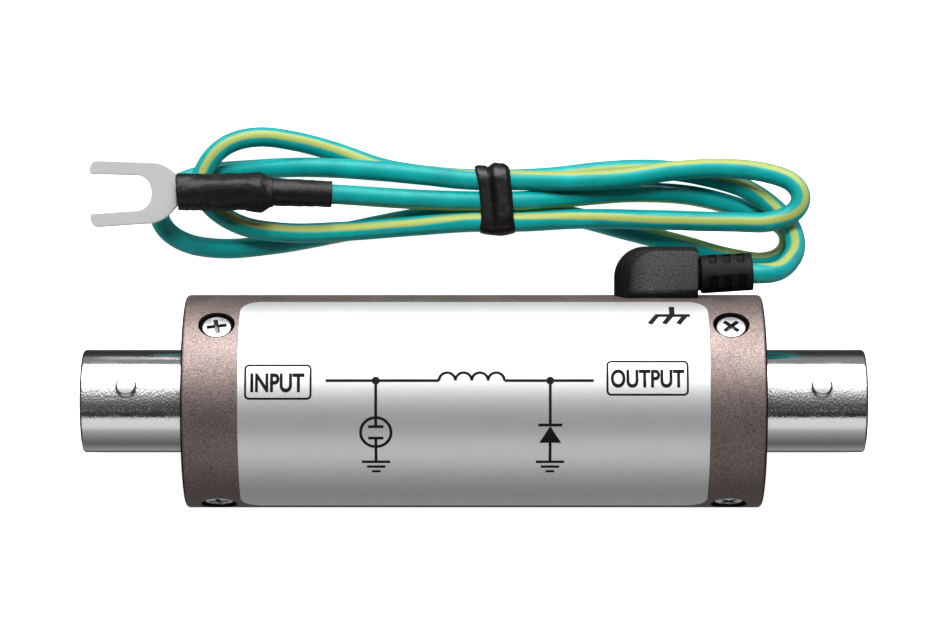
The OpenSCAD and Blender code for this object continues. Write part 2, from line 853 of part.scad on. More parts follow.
// Outline of the fork, with its tips towards -X and its neck at the origin
module fork_outline() {
    full_x = fork_l - fork_shoulder;
    prong_w = (fork_w - fork_slot_w) / 2;
    tip_r = min(fork_tip_r, prong_w - eps);
    difference() {
        union() {
            polygon([
                [0, -fork_neck_w / 2], [0, fork_neck_w / 2],
                [-fork_shoulder, fork_w / 2], [-fork_shoulder, -fork_w / 2]
            ]);
            translate([-fork_l + tip_r, -fork_w / 2])
                square([full_x - tip_r + eps, fork_w]);
            translate([-fork_l, -fork_w / 2 + tip_r])
                square([fork_l / 2, fork_w - 2 * tip_r]);
            for (s = [-1, 1])
                translate([-fork_l + tip_r, s * (fork_w / 2 - tip_r)])
                    circle(r = tip_r);
        }
        translate([-fork_l - 1, -fork_slot_w / 2])
            square([fork_slot_l - fork_slot_w / 2 + 1, fork_slot_w]);
        translate([-fork_l + fork_slot_l - fork_slot_w / 2, 0])
            circle(d = fork_slot_w);
    }
}

module fork_terminal() {
    fork_gap = wire_fit + fork_neck_w / 2 * sin(fork_angle);
    color("#c4c4c4") {
        translate([sleeve_tip_x - fork_gap, crimp_y, crimp_z - fork_t])
            rotate([0, 0, fork_angle])
                linear_extrude(fork_t)
                    fork_outline();
        translate([sleeve_tip_x - fork_shoulder / 2, crimp_y - crimp_tab_w / 2, crimp_z - fork_t])
            cube([fork_shoulder / 2 + crimp_end_t, crimp_tab_w, fork_t]);
        lengthwise(sleeve_tip_x, crimp_y, crimp_z)
            difference() {
                cylinder(d = crimp_d, h = crimp_l);
                translate([0, 0, crimp_end_t])
                    cylinder(r = wire_r + wire_fit, h = crimp_l);
            }
    }
}

housing_tube();
face_label();
end_cap(-1);  // input_end_cap
end_cap(1);  // output_end_cap
cap_screws(-1, cross_angles[0]);  // input_cap_screws
cap_screws(1, cross_angles[1]);  // output_cap_screws
jack_shell(-1);  // input_jack_shell
jack_shell(1);  // output_jack_shell
jack_insulator(-1);  // input_jack_insulator
jack_insulator(1);  // output_jack_insulator
jack_contact(-1);  // input_jack_contact
jack_contact(1);  // output_jack_contact
lock_washer(-1);  // input_lock_washer
lock_washer(1);  // output_lock_washer
jack_nut(-1);  // input_jack_nut
jack_nut(1);  // output_jack_nut
circuit_board();
gas_tube_ceramic();
gas_tube_electrodes();
clamp_diode();
line_choke();
earth_pin();
ground_boot();
ground_wire();
wire_core();
wire_tie();
terminal_sleeve();
wire_sleeve();
fork_terminal();
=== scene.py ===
"""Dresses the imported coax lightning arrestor.

An anodised tube carries a bayonet jack at each end and a printed film label on its face. A green and
yellow earth lead leaves a rubber boot on the tube's side, is folded into a hank held by a tie, and ends in
a fork terminal.
Sizes are in millimetres, in the frame of the part: the tube lies along X, the label faces +Z and the boot +Y.
"""

import logging
import math
from collections.abc import Callable, Sequence
from dataclasses import dataclass
from enum import Enum

import bmesh
import bpy
from mathutils import Matrix, Vector, noise

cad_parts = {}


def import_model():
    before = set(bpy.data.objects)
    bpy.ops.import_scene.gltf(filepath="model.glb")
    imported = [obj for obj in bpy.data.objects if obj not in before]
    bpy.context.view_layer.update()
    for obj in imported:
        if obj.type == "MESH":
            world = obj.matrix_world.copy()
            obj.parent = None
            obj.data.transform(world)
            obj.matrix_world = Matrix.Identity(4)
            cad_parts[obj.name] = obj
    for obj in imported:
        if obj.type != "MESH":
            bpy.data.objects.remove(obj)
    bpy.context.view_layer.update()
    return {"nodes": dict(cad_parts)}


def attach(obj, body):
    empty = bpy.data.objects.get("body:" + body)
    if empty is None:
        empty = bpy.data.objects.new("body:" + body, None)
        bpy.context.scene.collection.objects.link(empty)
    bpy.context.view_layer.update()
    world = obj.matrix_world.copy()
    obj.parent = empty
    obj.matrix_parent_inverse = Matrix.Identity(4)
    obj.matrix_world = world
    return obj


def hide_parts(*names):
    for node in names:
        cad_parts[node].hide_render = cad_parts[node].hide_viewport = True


LOG = logging.getLogger("arrestor")
MM = 0.001
AXIS_Z = 10.0
BODY = "root"
# Span that a noise keeps to almost everywhere
NOISE_SPAN = (0.3, 0.7)


class Side(Enum):
    """End of the tube, as the sign of its X."""

    INPUT = -1
    OUTPUT = 1


class Turn(Enum):
    """Axis that a profile is spun round."""

    LENGTH = (1.0, 0.0, 0.0)
    UP = (0.0, 0.0, 1.0)


class Join(Enum):
    """How a second solid is combined with the first."""

    CUT = "DIFFERENCE"
    ADD = "UNION"


def linear(code: str) -> tuple[float, float, float, float]:
    """Turns an sRGB hex colour to linear RGBA.

    Args:
        code: Colour as #rrggbb.

    Returns:
        Red, green, blue and an alpha of 1.
    """
    channels = [int(code[i : i + 2], 16) / 255 for i in (1, 3, 5)]
    r, g, b = (c / 12.92 if c <= 0.04045 else ((c + 0.055) / 1.055) ** 2.4 for c in channels)
    return (r, g, b, 1.0)


def per_metre(size_mm: float) -> float:
    """Returns the scale of a pattern whose features are size_mm across."""
    return 1.0 / (size_mm * MM)


def add_node(
    tree: bpy.types.NodeTree, kind: str, sockets: dict | None = None, **settings: object
) -> bpy.types.Node:
    """Adds a node with its settings and links.

    Args:
        tree: Node tree that gets the node.
        kind: Type name of the node.
        sockets: Value or output socket for each input, by name or number.
        settings: Properties of the node.

    Returns:
        The new node.
    """
    node = tree.nodes.new(kind)
    for name, value in settings.items():
        setattr(node, name, value)
    for key, value in (sockets or {}).items():
        if isinstance(value, bpy.types.NodeSocket):
            tree.links.new(value, node.inputs[key])
        else:
            node.inputs[key].default_value = value
    return node


def maths(tree: bpy.types.NodeTree, operation: str, *values: object) -> bpy.types.NodeSocket:
    """Adds a calculation.

    Args:
        tree: Node tree that gets the node.
        operation: Name of the calculation.
        values: Numbers or output sockets, in order.

    Returns:
        The result.
    """
    return add_node(tree, "ShaderNodeMath", dict(enumerate(values)), operation=operation).outputs[0]


def ranged(
    tree: bpy.types.NodeTree,
    value: bpy.types.NodeSocket,
    low: float,
    high: float,
    least: float = 0.0,
    most: float = 1.0,
    kind: str = "LINEAR",
) -> bpy.types.NodeSocket:
    """Adds a change of range that holds at both ends.

    Args:
        tree: Node tree that gets the node.
        value: Value to change.
        low: Where the old range starts.
        high: Where it ends.
        least: Result at the start.
        most: Result at the end.
        kind: How the result goes from one to the other.

    Returns:
        The result.
    """
    sockets = {"Value": value, "From Min": low, "From Max": high, "To Min": least, "To Max": most}
    return add_node(tree, "ShaderNodeMapRange", sockets, interpolation_type=kind).outputs[0]


def blended(tree: bpy.types.NodeTree, share: object, first: object, second: object) -> bpy.types.NodeSocket:
    """Adds a mix of two colours.

    Args:
        tree: Node tree that gets the node.
        share: Share of the second colour.
        first: First colour.
        second: Second colour.

    Returns:
        The mixed colour.
    """
    return add_node(tree, "ShaderNodeMix", {0: share, 6: first, 7: second}, data_type="RGBA").outputs[2]


def speckle(
    tree: bpy.types.NodeTree,
    place: bpy.types.NodeSocket,
    size_mm: float,
    detail: float = 3.0,
    roughness: float = 0.5,
) -> bpy.types.NodeSocket:
    """Adds a noise in space.

    Args:
        tree: Node tree that gets the node.
        place: Where a point lies.
        size_mm: Size of the features.
        detail: Number of finer layers.
        roughness: Share of each finer layer.

    Returns:
        The noise.
    """
    sockets = {"Vector": place, "Scale": per_metre(size_mm), "Detail": detail, "Roughness": roughness}
    return add_node(tree, "ShaderNodeTexNoise", sockets).outputs[0]


def raised(
    tree: bpy.types.NodeTree, height: bpy.types.NodeSocket, depth_mm: float, strength: float = 1.0
) -> bpy.types.NodeSocket:
    """Adds a fine relief.

    Args:
        tree: Node tree that gets the node.
        height: Height of the surface, from 0 to 1.
        depth_mm: What a height of 1 stands for.
        strength: Share of the relief.

    Returns:
        The normal.
    """
    sockets = {"Height": height, "Strength": strength, "Distance": depth_mm * MM}
    return add_node(tree, "ShaderNodeBump", sockets).outputs[0]


def across_axis(tree: bpy.types.NodeTree) -> bpy.types.NodeSocket:
    """Adds the place of a point measured from the tube's axis, without its X.

    Args:
        tree: Node tree that gets the nodes.

    Returns:
        The place.
    """
    place = add_node(tree, "ShaderNodeTexCoord").outputs["Object"]
    sockets = {"Vector": place, "Location": (0.0, 0.0, -AXIS_Z * MM), "Scale": (0.0, 1.0, 1.0)}
    return add_node(tree, "ShaderNodeMapping", sockets).outputs[0]


@dataclass(frozen=True)
class Finish:
    """A material: what it is, how its surface was made, and its plain shader values."""

    name: str
    colour: str
    shade: str
    metallic: float = 0.0
    roughness: float = 0.5
    ior: float = 1.5
    specular: float = 0.5

    def material(self) -> bpy.types.Material:
        """Makes the material, or finds it if another piece has it.

        Returns:
            The material.
        """
        known = bpy.data.materials.get(self.name)
        if known is not None:
            return known
        made = bpy.data.materials.new(self.name)
        made.use_nodes = True
        made.diffuse_color = linear(self.colour)
        shader = made.node_tree.nodes["Principled BSDF"]
        shader.inputs["Base Color"].default_value = linear(self.colour)
        shader.inputs["Metallic"].default_value = self.metallic
        shader.inputs["Roughness"].default_value = self.roughness
        shader.inputs["IOR"].default_value = self.ior
        shader.inputs["Specular IOR Level"].default_value = self.specular
        self.pattern(made.node_tree, shader)
        return made

    def pattern(self, tree: bpy.types.NodeTree, shader: bpy.types.Node) -> None:
        """Adds the detail of the surface, which each kind of finish gives.

        Args:
            tree: Node tree of the material.
            shader: Its surface shader.
        """
        raise NotImplementedError


@dataclass(frozen=True)
class Mottled(Finish):
    """A surface with a fine grain and broad cloudy changes of gloss."""

    grain_mm: float = 0.2
    grain_depth_mm: float = 0.01
    cloud_mm: float = 3.0
    gloss_spread: float = 0.06
    contrast: float = 1.0
    stretch: tuple[float, float, float] = (1.0, 1.0, 1.0)

    def pattern(self, tree: bpy.types.NodeTree, shader: bpy.types.Node) -> None:
        """Adds grain to the colour and relief, and clouds to the gloss.

        Args:
            tree: Node tree of the material.
            shader: Its surface shader.
        """
        place = add_node(tree, "ShaderNodeTexCoord").outputs["Object"]
        spread = add_node(tree, "ShaderNodeMapping", {"Vector": place, "Scale": self.stretch}).outputs[0]
        fine = speckle(tree, spread, self.grain_mm, 2.0, 0.6)
        cloud = speckle(tree, place, self.cloud_mm)
        half = 0.5 / self.contrast
        level = ranged(tree, fine, 0.5 - half, 0.5 + half)
        tint = blended(tree, level, linear(self.colour), linear(self.shade))
        least, most = self.roughness - self.gloss_spread, self.roughness + self.gloss_spread
        gloss = ranged(tree, cloud, *NOISE_SPAN, least, most)
        relief = raised(tree, fine, self.grain_depth_mm)
        tree.links.new(tint, shader.inputs["Base Color"])
        tree.links.new(gloss, shader.inputs["Roughness"])
        tree.links.new(relief, shader.inputs["Normal"])


@dataclass(frozen=True)
class PaintedSheen(Mottled):
    """A grained surface with a painted sheen: paler where the piece's own attribute says that it faces the
    light.
    """

    # Colours of the painted sheen on the crown, and where along X it fades in
    painted_sheen: str = "#5a5958"
    painted_sheen_speckle: str = "#2a2928"
    fade_mm: tuple[float, float] = (13.6, 16.8)

    def pattern(self, tree: bpy.types.NodeTree, shader: bpy.types.Node) -> None:
        """Adds the grain, and mixes in the paler grain of the painted sheen by the attribute.

        Args:
            tree: Node tree of the material.
            shader: Its surface shader.
        """
        super().pattern(tree, shader)
        plain_tint = shader.inputs["Base Color"].links[0].from_socket
        level = plain_tint.node.inputs[0].links[0].from_socket
        painted_sheen = blended(tree, level, linear(self.painted_sheen), linear(self.painted_sheen_speckle))
        # The attribute marks the faces that get the painted sheen
        painted_sheen_mask = add_node(tree, "ShaderNodeAttribute", attribute_name="painted_sheen_mask").outputs["Fac"]
        place = add_node(tree, "ShaderNodeTexCoord").outputs["Object"]
        along = add_node(tree, "ShaderNodeSeparateXYZ", {0: place}).outputs[0]
        start, end = (edge * MM for edge in self.fade_mm)
        share = maths(tree, "MULTIPLY", painted_sheen_mask, ranged(tree, along, start, end, kind="SMOOTHSTEP"))
        tree.links.new(blended(tree, share, plain_tint, painted_sheen), shader.inputs["Base Color"])


@dataclass(frozen=True)
class Scuffed(Mottled):
    """A grained barrel whose grain is deeper along its top, where plugs have scuffed it."""

    scuff: float = 4.0
    start_degrees: tuple[float, float] = (-14.0, -9.0)
    end_degrees: tuple[float, float] = (12.0, 26.0)
    radius_mm: float = 4.9

    def pattern(self, tree: bpy.types.NodeTree, shader: bpy.types.Node) -> None:
        """Adds the grain, and deepens it between two angles round the tube's axis, but not on the lugs.

        Args:
            tree: Node tree of the material.
            shader: Its surface shader.
        """
        super().pattern(tree, shader)
        relief = shader.inputs["Normal"].links[0].from_node
        grain = relief.inputs["Height"].links[0].from_socket
        flat = across_axis(tree)
        parts = add_node(tree, "ShaderNodeSeparateXYZ", {0: flat})
        angle = maths(tree, "ARCTAN2", parts.outputs[1], parts.outputs[2])
        reach = add_node(tree, "ShaderNodeVectorMath", {0: flat}, operation="LENGTH").outputs["Value"]
        height = maths(tree, "SUBTRACT", grain, 0.5)
        deeper = maths(tree, "MULTIPLY", height, maths(tree, "LESS_THAN", reach, self.radius_mm * MM))
        for (low, high), least, most in ((self.start_degrees, 0.0, 1.0), (self.end_degrees, 1.0, 0.0)):
            share = ranged(tree, angle, math.radians(low), math.radians(high), least, most)
            deeper = maths(tree, "MULTIPLY", deeper, share)
        whole = maths(tree, "MULTIPLY_ADD", deeper, self.scuff, height)
        tree.links.new(whole, relief.inputs["Height"])


@dataclass(frozen=True)
class Faced(Finish):
    """A face turned on a lathe, with fine rings round the tube's axis."""

    ring_mm: float = 0.12
    ring_depth_mm: float = 0.006

    def pattern(self, tree: bpy.types.NodeTree, shader: bpy.types.Node) -> None:
        """Adds rings of uneven depth round the axis, to the relief and the colour.

        Args:
            tree: Node tree of the material.
            shader: Its surface shader.
        """
        radius = add_node(tree, "ShaderNodeVectorMath", {0: across_axis(tree)}, operation="LENGTH")
        sockets = {"W": radius.outputs["Value"], "Scale": per_metre(self.ring_mm), "Detail": 2.0}
        rings = add_node(tree, "ShaderNodeTexNoise", sockets, noise_dimensions="1D").outputs[0]
        level = ranged(tree, rings, 0.25, 0.75)
        tint = blended(tree, level, linear(self.colour), linear(self.shade))
        tree.links.new(tint, shader.inputs["Base Color"])
        tree.links.new(raised(tree, rings, self.ring_depth_mm), shader.inputs["Normal"])


@dataclass(frozen=True)
class Striped(Finish):
    """An extruded cover with one stripe of a second colour along it, placed by the UV map round the wire."""

    stripe: str = "#9ca858"
    stripe_share: float = 0.118
    stripe_blur: float = 0.022
    wander: float = 0.02
    cloud_mm: float = 2.5
    gloss_spread: float = 0.05
    drag_mm: float = 0.25
    drag_depth_mm: float = 0.004

    def pattern(self, tree: bpy.types.NodeTree, shader: bpy.types.Node) -> None:
        """Adds the stripe, cloudy colour and the faint drag lines of extrusion.

        Args:
            tree: Node tree of the material.
            shader: Its surface shader.
        """
        coords = add_node(tree, "ShaderNodeTexCoord")
        place = coords.outputs["Object"]
        around = add_node(tree, "ShaderNodeSeparateXYZ", {0: coords.outputs["UV"]}).outputs[1]
        away = maths(tree, "ABSOLUTE", maths(tree, "SUBTRACT", around, 0.5))
        cloud = speckle(tree, place, self.cloud_mm)
        edge = maths(tree, "MULTIPLY_ADD", cloud, self.wander, away)
        half = self.stripe_share / 2 + self.wander / 2
        mask = ranged(tree, edge, half - self.stripe_blur, half + self.stripe_blur, 1.0, 0.0, "SMOOTHSTEP")
        cover = blended(tree, ranged(tree, cloud, *NOISE_SPAN), linear(self.colour), linear(self.shade))
        tint = blended(tree, mask, cover, linear(self.stripe))
        relief = raised(tree, speckle(tree, place, self.drag_mm, 2.0), self.drag_depth_mm, 0.5)
        least, most = self.roughness - self.gloss_spread, self.roughness + self.gloss_spread
        gloss = ranged(tree, cloud, *NOISE_SPAN, least, most)
        tree.links.new(tint, shader.inputs["Base Color"])
        tree.links.new(gloss, shader.inputs["Roughness"])
        tree.links.new(relief, shader.inputs["Normal"])


# Bead-blasted and dyed aluminium: a soft metallic sheen broken up by a fine speckle
ANODISED = Mottled(
    "anodised_aluminium_blasted", "#a39390", "#594e49", 1.0, 0.54,
    grain_mm=0.14, grain_depth_mm=0.022, contrast=2.0,
)  # fmt: skip
# Painted shade: dyed aluminium at the cut ends and in the counterbores, not blasted, made dark and without
# sparkle
ANODISED_PAINTED_SHADE = Mottled("anodised_aluminium_painted_shade", "#3a3230", "#211c1b", 1.0, 0.6, grain_depth_mm=0.004)
# Metallised polyester film: an even satin silver that is almost white where it faces the light
FILM = Mottled(
    "polyester_film_satin_silver", "#e2e3e4", "#d6d7d9", 0.9, 0.45,
    grain_mm=0.18, grain_depth_mm=0.003, gloss_spread=0.01,
)  # fmt: skip
# Screen-printed ink: dull black, a little uneven in its cover
INK = Mottled("ink_screen_printed_black", "#0c0c0d", "#18181a", 0.0, 0.7, specular=0.1, grain_mm=0.12)
# Nickel plate on turned brass: a bright mirror whose fine peel breaks up the edge of each reflection
NICKEL = Scuffed(
    "nickel_plate_on_turned_brass",
    "#dddddd",
    "#cccccc",
    1.0,
    0.1,
    grain_mm=0.26,
    grain_depth_mm=0.012,
    cloud_mm=2.0,
    stretch=(2.2, 1.0, 1.0),
)
# Nickel plate on small steel parts inside the tube, duller than the jacks
PLATED_STEEL = Mottled("nickel_plate_on_pressed_steel", "#c2c1be", "#aeadaa", 1.0, 0.3, grain_depth_mm=0.004)
# Bright zinc on the screws: white metal with light wear
ZINC = Mottled(
    "zinc_plate_on_steel_screws", "#e6e7e8", "#d5d6d8", 1.0, 0.22, grain_mm=0.15, grain_depth_mm=0.003
)
# Zinc in the cross recess, cold-formed and left rough: dull dark grey, a painted shade for the depth of the
# recess
ZINC_RECESS_SHADE = Mottled("zinc_plate_recess_painted_shade", "#8e8e8e", "#6c6c6c", 1.0, 0.42, grain_mm=0.1)
# Turned aluminium: satin with fine rings
TURNED = Faced("aluminium_turned_face", "#b3b4b7", "#96989c", 1.0, 0.32)
# Moulded fluoropolymer: waxy white
FLUOROPOLYMER = Mottled(
    "fluoropolymer_moulded_white", "#f1efe8", "#e6e3da", 0.0, 0.42, 1.38, grain_depth_mm=0.004
)
# Gold flash over brass: warm and bright
GOLD = Mottled("gold_flash_on_brass", "#e0b860", "#d0a850", 1.0, 0.2, grain_mm=0.15, grain_depth_mm=0.003)
# Moulded black rubber: dull, with a spark-eroded grain; its crown is greyed by a painted sheen
RUBBER = PaintedSheen(
    "rubber_moulded_black", "#0e0d0d", "#040404", 0.0, 0.55, 1.52, 0.14,
    grain_mm=0.2, grain_depth_mm=0.05, contrast=2.2,
)  # fmt: skip
# Extruded vinyl: satin teal green with a pale yellow stripe
VINYL = Striped("vinyl_extruded_green_yellow", "#009c9a", "#008886", 0.0, 0.36, 1.53, 0.3)
# Vinyl-covered wire tie: black with a soft sheen on its ridges
TIE_VINYL = Mottled(
    "vinyl_tie_strip_black", "#0d0c0b", "#060606", 0.0, 0.38, 1.53, 0.4, grain_mm=0.25, grain_depth_mm=0.03
)
# Shrunk polyolefin sleeve: charcoal, with creases and rubbed patches
SHRUNK = Mottled(
    "polyolefin_sleeve_shrunk_black", "#0e0c0b", "#060505", 0.0, 0.44, 1.51, 0.3,
    grain_mm=0.3, grain_depth_mm=0.03,
)  # fmt: skip
# Tinned copper sheet: matt pale grey, hardly mirror-like
TIN = Mottled("tin_plate_on_copper_matt", "#c4c4c4", "#bababa", 0.55, 0.55, grain_depth_mm=0.004)
# Solder mask on glass epoxy: deep green gloss with a faint weave of grain
SOLDER_MASK = Mottled(
    "glass_epoxy_solder_mask_green", "#2c6a44", "#245a39", 0.0, 0.3, 1.55, grain_depth_mm=0.004
)
# Fired alumina: chalky white
ALUMINA = Mottled(
    "alumina_fired_white", "#ece7dd", "#e0dace", 0.0, 0.55, 1.76, grain_mm=0.15, grain_depth_mm=0.003
)
# Moulded epoxy: matt black
EPOXY = Mottled(
    "epoxy_moulded_black", "#2a2a2c", "#1f1f21", 0.0, 0.55, 1.55, grain_mm=0.15, grain_depth_mm=0.004
)
# Varnished ferrite: dark brown, half gloss
FERRITE = Mottled("ferrite_varnished_brown", "#5d3c2c", "#4b2f22", 0.0, 0.38, grain_depth_mm=0.004)


def is_sharp(edge: bmesh.types.BMEdge) -> bool:
    """Tells whether two faces meet at an edge at over 30 degrees."""
    return edge.is_manifold and edge.calc_face_angle(0.0) > math.radians(30)


class Form:
    """Mesh of one piece while it is being shaped, in millimetres."""

    def __init__(self) -> None:
        """Starts with an empty mesh."""
        self.bm = bmesh.new()

    def tidy(self) -> "Form":
        """Merges doubled vertices and points the faces outwards.

        Returns:
            This form.
        """
        bmesh.ops.remove_doubles(self.bm, verts=self.bm.verts, dist=1e-4)
        bmesh.ops.recalc_face_normals(self.bm, faces=self.bm.faces)
        return self

    def lathe(
        self,
        profile: Sequence[tuple[float, float]],
        steps: int = 128,
        axis: Turn = Turn.LENGTH,
        closed: bool = True,
    ) -> "Form":
        """Spins a profile a full turn.

        Args:
            profile: Points as distance along the axis and radius.
            steps: Steps of the turn.
            axis: Axis through the origin that the profile turns round.
            closed: Whether the last point joins the first. Otherwise both ends lie on the axis.

        Returns:
            This form.
        """
        verts = [self.bm.verts.new((a, 0, r) if axis is Turn.LENGTH else (r, 0, a)) for a, r in profile]
        pairs = list(zip(verts, verts[1:])) + [(verts[-1], verts[0])] * closed
        edges = [self.bm.edges.new(pair) for pair in pairs]
        bmesh.ops.spin(
            self.bm,
            geom=verts + edges,
            cent=(0, 0, 0),
            axis=axis.value,
            angle=math.tau,
            steps=steps,
            use_merge=True,
        )
        return self.tidy()

    def bar(self, start: float, end: float, radius: float, steps: int, axis: Turn = Turn.LENGTH) -> "Form":
        """Turns a plain round bar.

        Args:
            start: Where it starts along the axis.
            end: Where it ends.
            radius: Its radius.
            steps: Steps of the turn.
            axis: Axis that it lies on.

        Returns:
            This form.
        """
        return self.lathe([(start, 0), (start, radius), (end, radius), (end, 0)], steps, axis, closed=False)

    def block(self, size: Sequence[float], centre: Sequence[float]) -> "Form":
        """Adds a box.

        Args:
            size: Its length along X, Y and Z.
            centre: Its middle.

        Returns:
            This form.
        """
        place = Matrix.Translation(centre) @ Matrix.Diagonal((*size, 1.0))
        bmesh.ops.create_cube(self.bm, size=1.0, matrix=place)
        return self

    def plate(self, outline: Sequence[tuple[float, float]], radii: dict[int, float]) -> "Form":
        """Adds one flat face in the XY plane with some of its corners rounded.

        Args:
            outline: Corners in order.
            radii: Radius of each rounded corner, by its number.

        Returns:
            This form.
        """
        corners = [self.bm.verts.new((x, y, 0)) for x, y in outline]
        self.bm.faces.new(corners)
        points = [Vector(p) for p in outline]
        for number, radius in radii.items():
            here, before, after = (points[i % len(points)] for i in (number, number - 1, number + 1))
            angle = (before - here).angle(after - here)
            bmesh.ops.bevel(
                self.bm,
                geom=[corners[number]],
                offset=radius / math.tan(angle / 2),
                offset_type="OFFSET",
                segments=max(4, int(12 * radius**0.5)),
                profile=0.5,
                affect="VERTICES",
                material=-1,
            )
        return self

    def thicken(self, thickness: float, base: float = 0.0) -> "Form":
        """Makes flat faces a solid that stands up from a height.

        Args:
            thickness: Thickness of the solid.
            base: Height of its lower face.

        Returns:
            This form.
        """
        bmesh.ops.recalc_face_normals(self.bm, faces=self.bm.faces)
        bmesh.ops.solidify(self.bm, geom=self.bm.faces[:], thickness=thickness)
        self.move((0, 0, base - min(v.co.z for v in self.bm.verts)))
        bmesh.ops.recalc_face_normals(self.bm, faces=self.bm.faces)
        return self

    def soften(
        self, width: float, segments: int = 3, where: Callable[[bmesh.types.BMEdge], bool] = is_sharp
    ) -> "Form":
        """Rounds edges.

        Args:
            width: Width of the rounding.
            segments: Steps across it.
            where: Test that picks the edges.

        Returns:
            This form.
        """
        bmesh.ops.bevel(
            self.bm,
            geom=[e for e in self.bm.edges if where(e)],
            offset=width,
            offset_type="OFFSET",
            segments=segments,
            profile=0.5,
            affect="EDGES",
            clamp_overlap=True,
            material=-1,
        )
        return self

    def move(self, by: Sequence[float]) -> "Form":
        """Moves the whole form."""
        bmesh.ops.translate(self.bm, vec=by, verts=self.bm.verts)
        return self

    def turn(self, degrees: float, axis: str, centre: Sequence[float] = (0, 0, 0)) -> "Form":
        """Turns the whole form about an axis through a point."""
        matrix = Matrix.Rotation(math.radians(degrees), 3, axis)
        bmesh.ops.rotate(self.bm, cent=centre, matrix=matrix, verts=self.bm.verts)
        return self

    def radial(self, x: float, degrees: float) -> "Form":
        """Places a form made along +Z so that it points out of the tube at an angle from the label's side."""
        return self.turn(-degrees, "X").move((x, 0, AXIS_Z))

    def flip(self, side: Side) -> "Form":
        """Mirrors a form made for the output end to the input end.

        Args:
            side: End that the form is for.

        Returns:
            This form.
        """
        bmesh.ops.scale(self.bm, vec=(side.value, 1, 1), verts=self.bm.verts)
        bmesh.ops.recalc_face_normals(self.bm, faces=self.bm.faces)
        return self

    def copy(self) -> "Form":
        """Returns a second form of the same shape."""
        twin = Form()
        twin.bm.free()
        twin.bm = self.bm.copy()
        return twin

    def absorb(self, other: "Form") -> "Form":
        """Takes in another form as a loose part.

        Args:
            other: Form to take in, which is used up.

        Returns:
            This form.
        """
        mesh = bpy.data.meshes.new("blank")
        other.bm.to_mesh(mesh)
        other.bm.free()
        self.bm.from_mesh(mesh)
        bpy.data.meshes.remove(mesh)
        return self

    def combine(self, other: "Form", how: Join) -> "Form":
        """Cuts another solid out of this one or adds it, by an exact boolean.

        Args:
            other: Second solid, which is used up.
            how: Whether it is cut out or added.

        Returns:
            This form.
        """
        blanks = []
        for form in (self, other):
            mesh = bpy.data.meshes.new("blank")
            form.bm.to_mesh(mesh)
            blanks.append(bpy.data.objects.new("blank", mesh))
            bpy.context.scene.collection.objects.link(blanks[-1])
        other.bm.free()
        modifier = blanks[0].modifiers.new("combine", "BOOLEAN")
        modifier.operation = how.value
        modifier.solver = "EXACT"
        modifier.object = blanks[1]
        bpy.context.view_layer.update()
        graph = bpy.context.evaluated_depsgraph_get()
        result = bpy.data.meshes.new_from_object(blanks[0].evaluated_get(graph))
        self.bm.clear()
        self.bm.from_mesh(result)
        used = [result] + [blank.data for blank in blanks]
        for blank in blanks:
            bpy.data.objects.remove(blank)
        for mesh in used:
            bpy.data.meshes.remove(mesh)
        return self

    def drape(self, across: int, along: int, place: Callable[[float, float], Vector]) -> "Form":
        """Lays a grid with a UV map on a closed surface and joins its seams.

        Args:
            across: Faces of the grid along V.
            along: Faces of the grid along U.
            place: Function from U and V, each from 0 to 1, to a point.

        Returns:
            This form.
        """
        self.bm.loops.layers.uv.new("wrap")
        bmesh.ops.create_grid(self.bm, x_segments=along, y_segments=across, size=0.5, calc_uvs=True)
        for v in self.bm.verts:
            v.co = place(v.co.x + 0.5, v.co.y + 0.5)
        return self.tidy()

    def crumple(
        self, size_mm: float, depth: float, where: Callable[[Vector], float], squash: float = 1.0
    ) -> "Form":
        """Pushes the surface in and out by a fixed noise.

        Args:
            size_mm: Size of the bumps.
            depth: Largest push.
            where: Share of the push at a point.
            squash: How much shorter the bumps are along X.

        Returns:
            This form.
        """
        self.bm.normal_update()
        for v in self.bm.verts:
            point = Vector((v.co.x * squash, v.co.y, v.co.z)) / size_mm
            v.co += v.normal * (depth * where(v.co) * noise.noise(point))
        return self

    def wrap(self, radius: float, step: float) -> "Form":
        """Bends a flat form, whose X runs along the tube and whose Y runs round it, on to the tube.

        Args:
            radius: Radius of the surface it lies on.
            step: Distance between the cuts that let it bend.

        Returns:
            This form.
        """
        low, high = (f(v.co.y for v in self.bm.verts) for f in (min, max))
        for i in range(math.ceil(low / step), math.floor(high / step) + 1):
            bmesh.ops.bisect_plane(
                self.bm,
                geom=self.bm.verts[:] + self.bm.edges[:] + self.bm.faces[:],
                dist=1e-5,
                plane_co=(0, i * step, 0),
                plane_no=(0, 1, 0),
            )
        for v in self.bm.verts:
            angle, reach = v.co.y / radius, radius + v.co.z
            v.co = (v.co.x, reach * math.sin(angle), AXIS_Z + reach * math.cos(angle))
        return self

    def paint(self, where: Callable[[Vector], bool]) -> "Form":
        """Gives some faces the second finish of the piece.

        Args:
            where: Test of the middle of a face.

        Returns:
            This form.
        """
        for face in self.bm.faces:
            face.material_index = int(where(face.calc_center_median()))
        return self

    def paint_sheen(self, least: float, most: float, where: Callable[[Vector], float]) -> "Form":
        """Marks the parts that face up or down for a painted sheen.

        Args:
            least: Share of facing at which the painted sheen starts.
            most: Share at which it is full.
            where: Share of the painted sheen at a point.

        Returns:
            This form.
        """
        self.bm.normal_update()
        layer = self.bm.verts.layers.float.new("painted_sheen_mask")
        for v in self.bm.verts:
            v[layer] = where(v.co) * min(1.0, max(0.0, (abs(v.normal.z) - least) / (most - least)))
        return self

